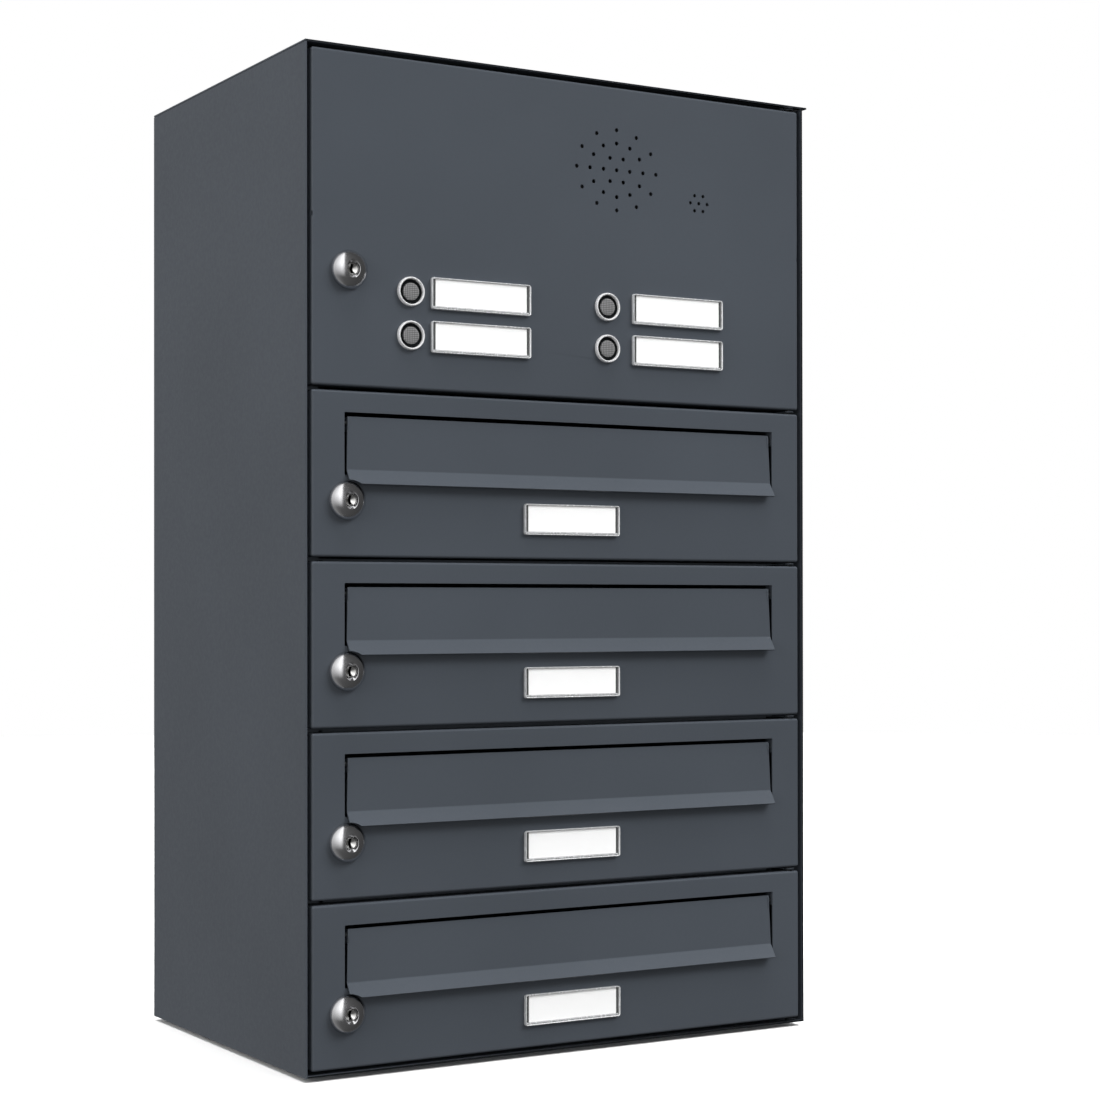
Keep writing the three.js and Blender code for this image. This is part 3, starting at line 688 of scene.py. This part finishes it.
def lock_bite(lock_node):
    """Helper cylinder that clears the lock's dome."""
    low, high = corners_of(lock_node)
    radius = (high.x - low.x) / 2 / MM + BITE_CLEARANCE
    place = facing_front(((low.x + high.x) / 2, FRONT_Y, (low.z + high.z) / 2))
    return extruded("bite", place, PAINT, [circle(radius, steps=64)], *BITE_SPAN)


def flap_ear(name, body, place, side, outer, rod):
    """Tab folded back from the flap's end, with the hole for its pin."""
    half_depth = 3.6
    half_height = 4.6
    behind = 0.8  # from the door's face to the ear
    drop = 5.0  # from the flap's top edge to the ear's middle
    outline = rounded_rectangle(half_depth, half_height, 1.2, behind + half_depth, -drop)
    hole = circle(FLAP_PIN_HOLE, rod.x, rod.y, 24)
    low, high = sorted((side * (outer - SHEET), side * outer))
    ear = extruded(name, place, PAINT, [outline, hole], low, high, TAB_EDGE)
    belongs(ear, body, "anthracite_paint")


def narrow_top(flap):
    """Draws in both ends of the flap's top edge, so its sides widen slightly to the crease."""
    top = max(vertex.co.z for vertex in flap.data.vertices)
    for vertex in flap.data.vertices:
        if top - vertex.co.z < 0.1 * MM:
            vertex.co.x -= math.copysign(FLAP_TOP_INSET * MM, vertex.co.x)


def intercom_door():
    body = "intercom_door"
    place, half_x, half_y, depth = door_frame(body)
    holes = [barrel_hole(place, "intercom_lock_housing", LOCK_HOLE_RADIUS)]
    for number in BELLS:
        holes.append(barrel_hole(place, f"bell_ring_{number}", BELL_HOLE_RADIUS))
        holes += label_hook_slots(place, f"bell_window_{number}")
    speaker = place.inverted() @ centre_of("speaker_driver")
    microphone = place.inverted() @ centre_of("microphone_capsule")
    for x, y in ring_centres(SPEAKER_RINGS, speaker.x, speaker.y):
        holes.append(circle(SPEAKER_HOLE_RADIUS, x, y, 16))
    for x, y in ring_centres(MICROPHONE_RINGS, microphone.x, microphone.y):
        holes.append(circle(MICROPHONE_HOLE_RADIUS, x, y, 16))
    door = tray("bell_door", place, PAINT, half_x, half_y, depth, holes)
    cut_away(door, [rod_hole(door), *edge_nicks(place, half_x, half_y)])
    weigh_normals(door)
    belongs(door, body, "anthracite_paint", body)


def edge_nicks(place, half_x, half_y):
    """Helper blocks, right through the sheet, for the relief nick halfway up each side edge."""
    middle_y = half_y - NICK_BELOW_TOP
    blocks = []
    for side, _ in SIDES:
        outline = rounded_rectangle(NICK_DEPTH, NICK_HEIGHT / 2, 0.3, side * half_x, middle_y, 2)
        blocks.append(extruded("nick", place, PAINT, [outline], *NICK_SPAN))
    return blocks


# ---- locks ----------------------------------------------------------------------------------

# Heights count from the door's face.
DOME_RADIUS = 12.8
DOME_HEIGHT = 8.1
DOME_STEPS = 22
DOME_SIDES = 96
MOUTH_HALF_X = 4.7
MOUTH_HALF_Y = 6.1
MOUTH_EDGE = 0.22
BARREL_BACK = -18.0
BARREL_BORE = 5.2
THREAD_TURNS = 15
THREAD_CREST = 9.0
THREAD_ROOT = 8.4
PLUG_RADIUS = 3.9
PLUG_FACE = 5.3
PLUG_SIDES = 64
PLUG_SHANK = (
    (PLUG_RADIUS, PLUG_FACE - 0.25), (PLUG_RADIUS, BARREL_BACK), (3.0, BARREL_BACK), (3.0, -20.8),
)
FUNNEL_SLOPE = 0.68  # the plug's face sinks towards the keyway
KEYWAY_HALF_X = 0.95
KEYWAY_HALF_Y = 3.1
KEYWAY_DEPTH = 8.0
CAM_HALF_WIDTH = 6.0
CAM_REACH = 18.0
CAM_LEVELS = (-20.6, -18.6)
CAM_SCREW_PROFILE = (
    (0, -20.7), (4.6, -20.7), (4.6, -21.6), (4.0, -22.1), (1.6, -22.2), (1.6, -21.4), (0, -21.4),
)


def lock(prefix, suffix, door_body, lock_body):
    """A cam lock: cap, barrel and nut on the door; plug, cam and screw turn."""
    housing = f"{prefix}_lock_housing{suffix}"
    middle = centre_of(housing)
    place = facing_front((middle.x, FRONT_Y, middle.z))
    tag = f"{prefix}{suffix}"
    cap = lock_cap(f"lock_cap_{tag}", place)
    belongs(cap, door_body, "polished_steel", housing)
    barrel = lock_barrel(f"lock_barrel_{tag}", place)
    belongs(barrel, door_body, "galvanised_steel")
    nut = hex_nut(f"lock_nut_{tag}", place, across_half=11.5, bore=9.1, thickness=4.0)
    belongs(nut, door_body, "galvanised_steel")
    plug = lock_plug(f"lock_plug_{tag}", place)
    belongs(plug, lock_body, "brass", f"{prefix}_lock_plug{suffix}")
    cam = lock_cam(f"lock_cam_{tag}", place)
    belongs(cam, lock_body, "galvanised_steel", f"{prefix}_lock_cam{suffix}")
    screw = turned(f"cam_screw_{tag}", place, ZINC, CAM_SCREW_PROFILE, 48)
    belongs(screw, lock_body, "galvanised_steel")


def dome_height(radius):
    """Height of the cap's outside above the door at a radius: half an ellipsoid."""
    return DOME_HEIGHT * math.sqrt(max(0.0, 1 - (radius / DOME_RADIUS) ** 2))


def lock_cap(name, place):
    """Polished dome with an upright oval mouth, dished down to the round plug."""
    bm = bmesh.new()
    base = 9.0
    throat = circle(PLUG_RADIUS + 0.2, steps=DOME_SIDES)
    rings = [loop_of(bm, throat, z) for z in (-1.0, PLUG_FACE)]
    rings.append(dome_ring(bm, MOUTH_HALF_X - MOUTH_EDGE, MOUTH_HALF_Y - MOUTH_EDGE, MOUTH_EDGE))
    for step in range(DOME_STEPS + 1):
        share = math.sin(math.pi / 2 * step / DOME_STEPS)
        half_x = MOUTH_HALF_X + (DOME_RADIUS - MOUTH_HALF_X) * share
        half_y = MOUTH_HALF_Y + (DOME_RADIUS - MOUTH_HALF_Y) * share
        rings.append(dome_ring(bm, half_x, half_y, 0.0))
    rings += [loop_of(bm, circle(base, steps=DOME_SIDES), z) for z in (0.1, -1.0)]
    loft(bm, rings + rings[:1])
    bmesh.ops.recalc_face_normals(bm, faces=bm.faces)
    return finished(bm, place, name, STEEL, 35)


def dome_ring(bm, half_x, half_y, drop):
    """Oval loop that lies on the dome, or a little below it."""
    ring = []
    for unit_x, unit_y in circle(1.0, steps=DOME_SIDES):
        x, y = half_x * unit_x, half_y * unit_y
        level = max(0.1, dome_height(math.hypot(x, y)) - drop)
        ring.append(bm.verts.new((x, y, level)))
    return ring


def lock_barrel(name, place):
    """Threaded barrel behind the door."""
    top = -1.3
    profile = [(BARREL_BORE, top), (THREAD_ROOT, top)]
    for turn in range(THREAD_TURNS):
        z = top - 0.5 - turn
        profile += [(THREAD_CREST, z - 0.25), (THREAD_ROOT, z - 0.75)]
    profile += [(THREAD_ROOT - 0.2, BARREL_BACK), (BARREL_BORE, BARREL_BACK), (BARREL_BORE, top)]
    return turned(name, place, ZINC, profile, 48, 20)


def hex_nut(name, place, across_half, bore, thickness):
    """Nut just behind the door's sheet, with a bore that clears the thread."""
    hexagon = circle(across_half / math.cos(math.pi / 6), steps=6)
    front = -SHEET - 0.2
    hole = circle(bore, steps=48)
    return extruded(name, place, ZINC, [hexagon, hole], front - thickness, front, 0.4)


def lock_plug(name, place):
    """Turning plug with an upright keyway in its funnel-shaped face; the keyway's walls and floor
    are painted shade.
    """
    bm = bmesh.new()
    rim_radius = PLUG_RADIUS - 0.2
    rim = loop_of(bm, circle(rim_radius, steps=PLUG_SIDES), PLUG_FACE)
    edge = []
    floor = []
    for x, y in circle(1.0, steps=PLUG_SIDES):
        corner = max(abs(x) / KEYWAY_HALF_X, abs(y) / KEYWAY_HALF_Y)
        slot_x, slot_y = x / corner, y / corner
        level = PLUG_FACE - FUNNEL_SLOPE * (rim_radius - math.hypot(slot_x, slot_y))
        edge.append(bm.verts.new((slot_x, slot_y, level)))
        floor.append(bm.verts.new((slot_x, slot_y, PLUG_FACE - KEYWAY_DEPTH)))
    loft(bm, [rim, edge, floor])
    bm.faces.new(floor)
    shank = [loop_of(bm, circle(radius, steps=PLUG_SIDES), z) for radius, z in PLUG_SHANK]
    loft(bm, [rim, *shank])
    bm.faces.new(shank[-1])
    bmesh.ops.recalc_face_normals(bm, faces=bm.faces)
    # the keyway's walls and floor take the near-black: painted shade in the recess
    for face in bm.faces:
        face.material_index = int(in_keyway(face))
    plug = finished(bm, place, name, NICKEL)
    plug.data.materials.append(PAINTED_SHADE)
    return plug


def in_keyway(face):
    """True for the walls and the floor of the plug's keyway."""
    highest = max(vertex.co.z for vertex in face.verts)
    return highest < PLUG_FACE and face.calc_center_median().xy.length < KEYWAY_HALF_Y


def lock_cam(name, place):
    """Flat latch arm with round ends that hangs down when unlocked."""
    steps = 24
    outline = []
    for first_angle, middle_y in ((0.0, 0.0), (math.pi, -CAM_REACH)):
        for step in range(steps + 1):
            angle = first_angle + math.pi * step / steps
            x = CAM_HALF_WIDTH * math.cos(angle)
            outline.append((x, middle_y + CAM_HALF_WIDTH * math.sin(angle)))
    return extruded(name, place, ZINC, [outline, circle(3.3, steps=32)], *CAM_LEVELS, 0.3)


# ---- labels and bells -----------------------------------------------------------------------

# Layers are a lower and an upper height above the door's face.
BACKING_LAYER = (0.35, 0.7)
CARD_LAYER = (0.8, 1.2)
RAIL_LAYER = (0.7, 1.45)
FILM_LAYER = (1.5, 1.9)
INNER_INSET_SIDE = 0.9  # the backing's and the film's
INNER_INSET_TOP = 0.6
CARD_INSET_SIDE = 3.1
CARD_INSET_TOP = 1.1
CARD_INSET_BOTTOM = 2.3
RAIL_INSET_SIDE = 1.5
RAIL_HALF_HEIGHT = 0.42
RAIL_ABOVE_BOTTOM = 1.75
LABEL_RIM = 0.95
LABEL_FRAME_PROFILE = (  # share of the rim's width, corner radius, height; see label_frame
    (0.0, 1.7, 0.1), (0.0, 1.7, -1.4), (0.1, 1.65, -0.85), (0.3, 1.5, -0.48), (0.5, 1.3, -0.4),
    (0.72, 1.1, -0.52), (0.9, 0.95, -0.85), (1.0, 0.9, -1.3), (1.0, 0.9, 0.1),
)
BELL_RING_INNER = 8.1
BELL_RING_OUTER = 9.7
BELL_RING_SHOULDER = 0.9  # where the rim's half round begins
BELL_RING_FRONT = 2.6
BELL_RING_STEPS = 12
BELL_BORE = 6.65
BELL_GROOVE_PROFILE = (
    (5.95, -0.6), (5.95, 0.35), (6.15, 0.55), (7.9, 0.55), (8.1, 0.35), (8.1, 0.1),
    (BELL_BORE, 0.1), (BELL_BORE, -0.6), (5.95, -0.6),
)
BELL_CAP_PROFILE = (
    (0, 1.9), (2.2, 1.88), (4.2, 1.8), (5.2, 1.66), (5.6, 1.4), (5.8, 1.0), (5.8, -5.8), (0, -5.8),
)


def label(node, body):
    """Bright bevelled frame, near-black backing that paints the shade along the frame's inner wall,
    blank white card, lower rail and clear film.
    """
    low, high = corners_of(node)
    middle = (low + high) / 2
    place = facing_front((middle.x, FRONT_Y, middle.z))
    half_x = (high.x - low.x) / 2 / MM
    half_y = (high.z - low.z) / 2 / MM
    rim = label_frame(f"frame_{node}", place, half_x, half_y, (FRONT_Y - low.y) / MM)
    belongs(rim, body, "clear_window", node)
    inside = rounded_rectangle(half_x - INNER_INSET_SIDE, half_y - INNER_INSET_TOP, 0.8)
    # the backing is near-black: painted shade in the gap between the frame's inner wall and the
    # card
    backing = extruded(f"backing_{node}", place, PAINTED_SHADE, [inside], *BACKING_LAYER)
    belongs(backing, body, "black_housing")
    card_half_y = half_y - (CARD_INSET_TOP + CARD_INSET_BOTTOM) / 2
    card_y = (CARD_INSET_BOTTOM - CARD_INSET_TOP) / 2
    card_outline = rounded_rectangle(half_x - CARD_INSET_SIDE, card_half_y, 0.3, 0, card_y)
    card = extruded(f"card_{node}", place, CARD, [card_outline], *CARD_LAYER)
    belongs(card, body, "clear_window")
    rail_y = RAIL_ABOVE_BOTTOM - half_y
    rail_outline = rounded_rectangle(half_x - RAIL_INSET_SIDE, RAIL_HALF_HEIGHT, 0.4, 0, rail_y)
    rail = extruded(f"rail_{node}", place, SILVER, [rail_outline], *RAIL_LAYER, 0.15)
    belongs(rail, body, "clear_window")
    film = extruded(f"film_{node}", place, FILM, [inside], *FILM_LAYER)
    belongs(film, body, "clear_window")


def label_frame(name, place, half_x, half_y, front):
    """Frame with a rounded rim; a profile height below 0 counts from its front face."""
    bm = bmesh.new()
    rings = []
    for share, radius, level in LABEL_FRAME_PROFILE:
        height = level if level > 0 else front + level
        inset = share * LABEL_RIM
        outline = rounded_rectangle(half_x - inset, half_y - inset, radius, steps=6)
        rings.append(loop_of(bm, outline, height))
    loft(bm, rings + rings[:1])
    bmesh.ops.recalc_face_normals(bm, faces=bm.faces)
    return finished(bm, place, name, SILVER, 25)


def bell_ring_profile():
    """Closed barrel behind the door, and a half-round rim in front of it."""
    half_width = (BELL_RING_OUTER - BELL_RING_INNER) / 2
    rise = BELL_RING_FRONT - BELL_RING_SHOULDER
    profile = [(0, -8), (BELL_BORE, -8), (BELL_BORE, 0), (BELL_RING_INNER, 0)]
    for step in range(BELL_RING_STEPS + 1):
        angle = math.pi * (1 - step / BELL_RING_STEPS)
        radius = BELL_RING_INNER + half_width * (1 + math.cos(angle))
        profile.append((radius, BELL_RING_SHOULDER + rise * math.sin(angle)))
    return profile + [(BELL_RING_OUTER, 0.1), (8.4, 0.1), (8.4, -15.6), (8.0, -16), (0, -16)]


def bell(number):
    """Bright ring, near-black groove of painted shade and nut on the door, and the dotted cap that
    moves.
    """
    ring_node = f"bell_ring_{number}"
    middle = centre_of(ring_node)
    place = facing_front((middle.x, FRONT_Y, middle.z))
    ring = turned(f"bell_bezel_{number}", place, BEZEL, bell_ring_profile(), 72, 35)
    belongs(ring, "intercom_door", "polished_steel", ring_node)
    # the groove between ring and cap is near-black: painted shade in the gap
    groove = turned(f"bell_groove_{number}", place, PAINTED_SHADE, BELL_GROOVE_PROFILE, 64, 35)
    belongs(groove, "intercom_door", "black_housing")
    cap = turned(f"bell_push_{number}", place, BUTTON, BELL_CAP_PROFILE, 64, 35)
    belongs(cap, f"bell_button_{number}", "grey_button", f"bell_cap_{number}")
    nut = hex_nut(f"bell_nut_{number}", place, across_half=10.2, bore=8.5, thickness=3.0)
    belongs(nut, "intercom_door", "galvanised_steel")


# ---- intercom -------------------------------------------------------------------------------

COVER_SCREW_INSET = 5.0
COVER_SCREW_PROFILE = (
    (0, 0.7), (0.9, 0.9), (1.05, 1.6), (1.8, 1.45), (2.6, 0.9), (2.9, 0.0), (0, -1),
)


def dress_speech_unit():
    """The speech unit's CAD solids are right as they are, but for finish and sharp edges."""
    for name in ("speech_housing", "speech_cover", "speaker_driver"):
        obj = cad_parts[name]
        dress(obj, BLACK)
        soften(obj, 0.4)
        weigh_normals(obj)
    dress(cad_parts["microphone_capsule"], ZINC)


def cover_screws():
    """Four pan-head screws that hold the speech unit's cover."""
    low, high = corners_of("speech_cover")
    inset = COVER_SCREW_INSET * MM
    columns = (low.x + inset, high.x - inset)
    rows = (low.z + inset, high.z - inset)
    corners = [(x, z) for x in columns for z in rows]
    for index, (x, z) in enumerate(corners):
        place = facing_back((x, high.y, z))
        screw = turned(f"cover_screw_{index + 1}", place, ZINC, COVER_SCREW_PROFILE, 32)
        belongs(screw, "intercom_door", "galvanised_steel")


# ---- stage ----------------------------------------------------------------------------------

# Places and sizes here are in metres, powers in watts.
FLOOR_RADIUS = 4.0
FLOOR_DROP = 0.003  # keeps the floor clear of the unit's underside

LIGHT_TARGET = (0, -0.13, 0.33)
LIGHTS = (  # name, place, size, power
    ("key", (2.4, -2.5, 3.1), (2.4, 2.0), 220),
    ("left", (-2.6, -0.6, 1.0), (1.8, 1.8), 40),
    ("front", (-0.6, -2.9, 0.1), (2.2, 1.2), 29),
    ("right", (2.6, 0.4, 1.0), (1.6, 1.6), 26),
    ("back", (-0.4, 2.8, 1.4), (2.0, 1.6), 45),
)
SKY_STRENGTH = 4.0
SKY_ANGLE = math.radians(40)

# Brightness of the studio's walls by azimuth in degrees: 0 is behind the camera, 90 on its right.
# A bright scrim behind the camera and on its left ends in a straight edge; the right is dark.
UPPER_WALL = (
    (-180, 0.5), (-150, 0.3), (-100, 0.3), (-90, 0.7), (-40, 0.9), (-5, 1.5), (2, 1.9), (13, 1.9),
    (19, 0.16), (60, 0.1), (110, 0.07), (150, 0.2), (180, 0.5),
)
LOWER_WALL = (
    (-180, 0.4), (-130, 0.25), (-90, 0.3), (-50, 0.26), (-15, 0.14), (5, 0.1), (110, 0.06),
    (150, 0.15), (180, 0.4),
)
WALL_BLEND = (-0.5, 0.45)  # heights on the unit sphere between which lower turns into upper
DIFFUSE_LEVEL = 0.15  # how bright the world is for the light it casts on matt surfaces
BACKDROP_LEVEL = 1.0

CAMERA_PLACE = (-0.8038, -1.4892, 0.2981)
CAMERA_YAW = math.radians(31.465)  # the camera looks this far to the right of straight ahead
CAMERA_PITCH = math.radians(0.327)
CAMERA_ROLL = math.radians(-0.074)
CAMERA_LENS = 75.715
CAMERA_SHIFT = (-0.0469, 0.0423)


def build_stage():
    """Pale floor; polished parts mirror the studio round it, not the floor."""
    bm = bmesh.new()
    bm.faces.new(loop_of(bm, circle(FLOOR_RADIUS, steps=96)))
    mesh = bpy.data.meshes.new("floor")
    bm.to_mesh(mesh)
    bm.free()
    material, tree, principled = shader("studio_floor", (0.9, 0.9, 0.9), 0.9)
    tone = ramp(tree, noise(tree, 3, 2), 0.3, 0.7, (0.89, 0.89, 0.89), (0.91, 0.91, 0.91))
    tree.links.new(tone, principled.inputs["Base Color"])
    mesh.materials.append(material)
    floor = bpy.data.objects.new("floor", mesh)
    floor.visible_glossy = False
    floor.visible_diffuse = False
    floor.location.z = -FLOOR_DROP
    link_to_scene(floor)


def soft_light(name, place, size, power):
    """Large soft area light that shades the object without showing in its polish."""
    data = bpy.data.lights.new(name, "AREA")
    data.shape = "RECTANGLE"
    data.size, data.size_y = size
    data.energy = power
    light = bpy.data.objects.new(name, data)
    light.location = place
    direction = Vector(LIGHT_TARGET) - Vector(place)
    light.rotation_euler = direction.to_track_quat("-Z", "Y").to_euler()
    light.visible_glossy = False
    link_to_scene(light)


def sky_light():
    """Even light from straight above that keeps the floor white up to the unit's foot."""
    data = bpy.data.lights.new("sky", "SUN")
    data.energy = SKY_STRENGTH
    data.angle = SKY_ANGLE
    light = bpy.data.objects.new("sky", data)
    light.visible_glossy = False
    link_to_scene(light)


def build_lights():
    for name, place, size, power in LIGHTS:
        soft_light(name, place, size, power)
    sky_light()


def wall_ramp(tree, turn, stops):
    """Grey levels round the horizon; turn runs from 0 to 1 between -180 and 180 degrees."""
    node = tree.nodes.new("ShaderNodeValToRGB")
    elements = node.color_ramp.elements
    while len(elements) > 1:
        elements.remove(elements[-1])
    for index, (degrees, level) in enumerate(stops):
        position = (degrees + 180) / 360
        element = elements[0] if index == 0 else elements.new(position)
        element.position = position
        element.color = (level, level, level, 1)
    tree.links.new(turn, node.inputs["Fac"])
    return node.outputs["Color"]


def share_of_range(tree, value, low, high):
    """0 where the value is low, 1 where it is high."""
    node = tree.nodes.new("ShaderNodeMapRange")
    node.inputs["From Min"].default_value = low
    node.inputs["From Max"].default_value = high
    tree.links.new(value, node.inputs["Value"])
    return node.outputs["Result"]


def view_direction(tree):
    """The world direction's x, y and z, turned so that the camera looks along +y."""
    coordinates = tree.nodes.new("ShaderNodeTexCoord")
    turned_round = tree.nodes.new("ShaderNodeMapping")
    turned_round.inputs["Rotation"].default_value = (0, 0, CAMERA_YAW)
    tree.links.new(coordinates.outputs["Generated"], turned_round.inputs["Vector"])
    parts = tree.nodes.new("ShaderNodeSeparateXYZ")
    tree.links.new(turned_round.outputs["Vector"], parts.inputs["Vector"])
    return parts.outputs["X"], parts.outputs["Y"], parts.outputs["Z"]


def azimuth_of(tree, x, y):
    """Angle round the vertical, in radians, from the camera's side."""
    backward = tree.nodes.new("ShaderNodeMath")
    backward.operation = "MULTIPLY"
    backward.inputs[1].default_value = -1
    tree.links.new(y, backward.inputs[0])
    azimuth = tree.nodes.new("ShaderNodeMath")
    azimuth.operation = "ARCTAN2"
    tree.links.new(x, azimuth.inputs[0])
    tree.links.new(backward.outputs["Value"], azimuth.inputs[1])
    return azimuth.outputs["Value"]


def plain_background(tree, level):
    node = tree.nodes.new("ShaderNodeBackground")
    node.inputs["Color"].default_value = (level, level, level, 1)
    return node


def mixed(tree, choice, otherwise, chosen):
    """A shader that is `chosen` where the choice is 1, and `otherwise` where it is 0."""
    node = tree.nodes.new("ShaderNodeMixShader")
    tree.links.new(choice, node.inputs["Fac"])
    tree.links.new(otherwise.outputs[0], node.inputs[1])
    tree.links.new(chosen.outputs[0], node.inputs[2])
    return node


def build_world():
    """White behind the object; a soft half-dark studio for light and reflections."""
    world = bpy.data.worlds.new("studio")
    world.use_nodes = True
    bpy.context.scene.world = world
    tree = world.node_tree
    x, y, z = view_direction(tree)
    turn = share_of_range(tree, azimuth_of(tree, x, y), -math.pi, math.pi)
    walls = tree.nodes.new("ShaderNodeMix")
    walls.data_type = "RGBA"
    # sockets 6 and 7 are the Mix node's two colours, and its output 2 is the mixed colour
    tree.links.new(share_of_range(tree, z, *WALL_BLEND), walls.inputs["Factor"])
    tree.links.new(wall_ramp(tree, turn, LOWER_WALL), walls.inputs[6])
    tree.links.new(wall_ramp(tree, turn, UPPER_WALL), walls.inputs[7])
    studio = tree.nodes["Background"]
    tree.links.new(walls.outputs[2], studio.inputs["Color"])
    path = tree.nodes.new("ShaderNodeLightPath")
    haze = plain_background(tree, DIFFUSE_LEVEL)
    lit = mixed(tree, path.outputs["Is Diffuse Ray"], studio, haze)
    backdrop = plain_background(tree, BACKDROP_LEVEL)
    seen = mixed(tree, path.outputs["Is Camera Ray"], lit, backdrop)
    tree.links.new(seen.outputs[0], tree.nodes["World Output"].inputs["Surface"])


def build_camera():
    """The photograph's view: a long lens a little above the unit's foot, turned to the right."""
    data = bpy.data.cameras.new("camera")
    data.sensor_width = 36
    data.lens = CAMERA_LENS
    data.shift_x, data.shift_y = CAMERA_SHIFT
    camera = bpy.data.objects.new("camera", data)
    camera.location = CAMERA_PLACE
    yaw = Matrix.Rotation(-CAMERA_YAW, 3, "Z")
    pitch = Matrix.Rotation(math.pi / 2 + CAMERA_PITCH, 3, "X")
    roll = Matrix.Rotation(CAMERA_ROLL, 3, "Z")
    camera.rotation_euler = (yaw @ pitch @ roll).to_euler()
    link_to_scene(camera)
    bpy.context.scene.camera = camera


# ---- assembly -------------------------------------------------------------------------------

bpy.context.scene.view_settings.view_transform = "Standard"
build_camera()
build_stage()
build_world()
build_lights()
dress_casing()
hinge_rod()
cable_grommet()
intercom_door()
lock("intercom", "", "intercom_door", "intercom_lock")
for bell_number in BELLS:
    bell(bell_number)
    label(f"bell_window_{bell_number}", "intercom_door")
dress_speech_unit()
cover_screws()
for box_number in MAILBOXES:
    mailbox_door(box_number)
    flap_rod(box_number)
    letter_flap(box_number)
    lock("mailbox", f"_{box_number}", f"mailbox_door_{box_number}", f"mailbox_lock_{box_number}")
    label(f"name_window_{box_number}", f"mailbox_door_{box_number}")
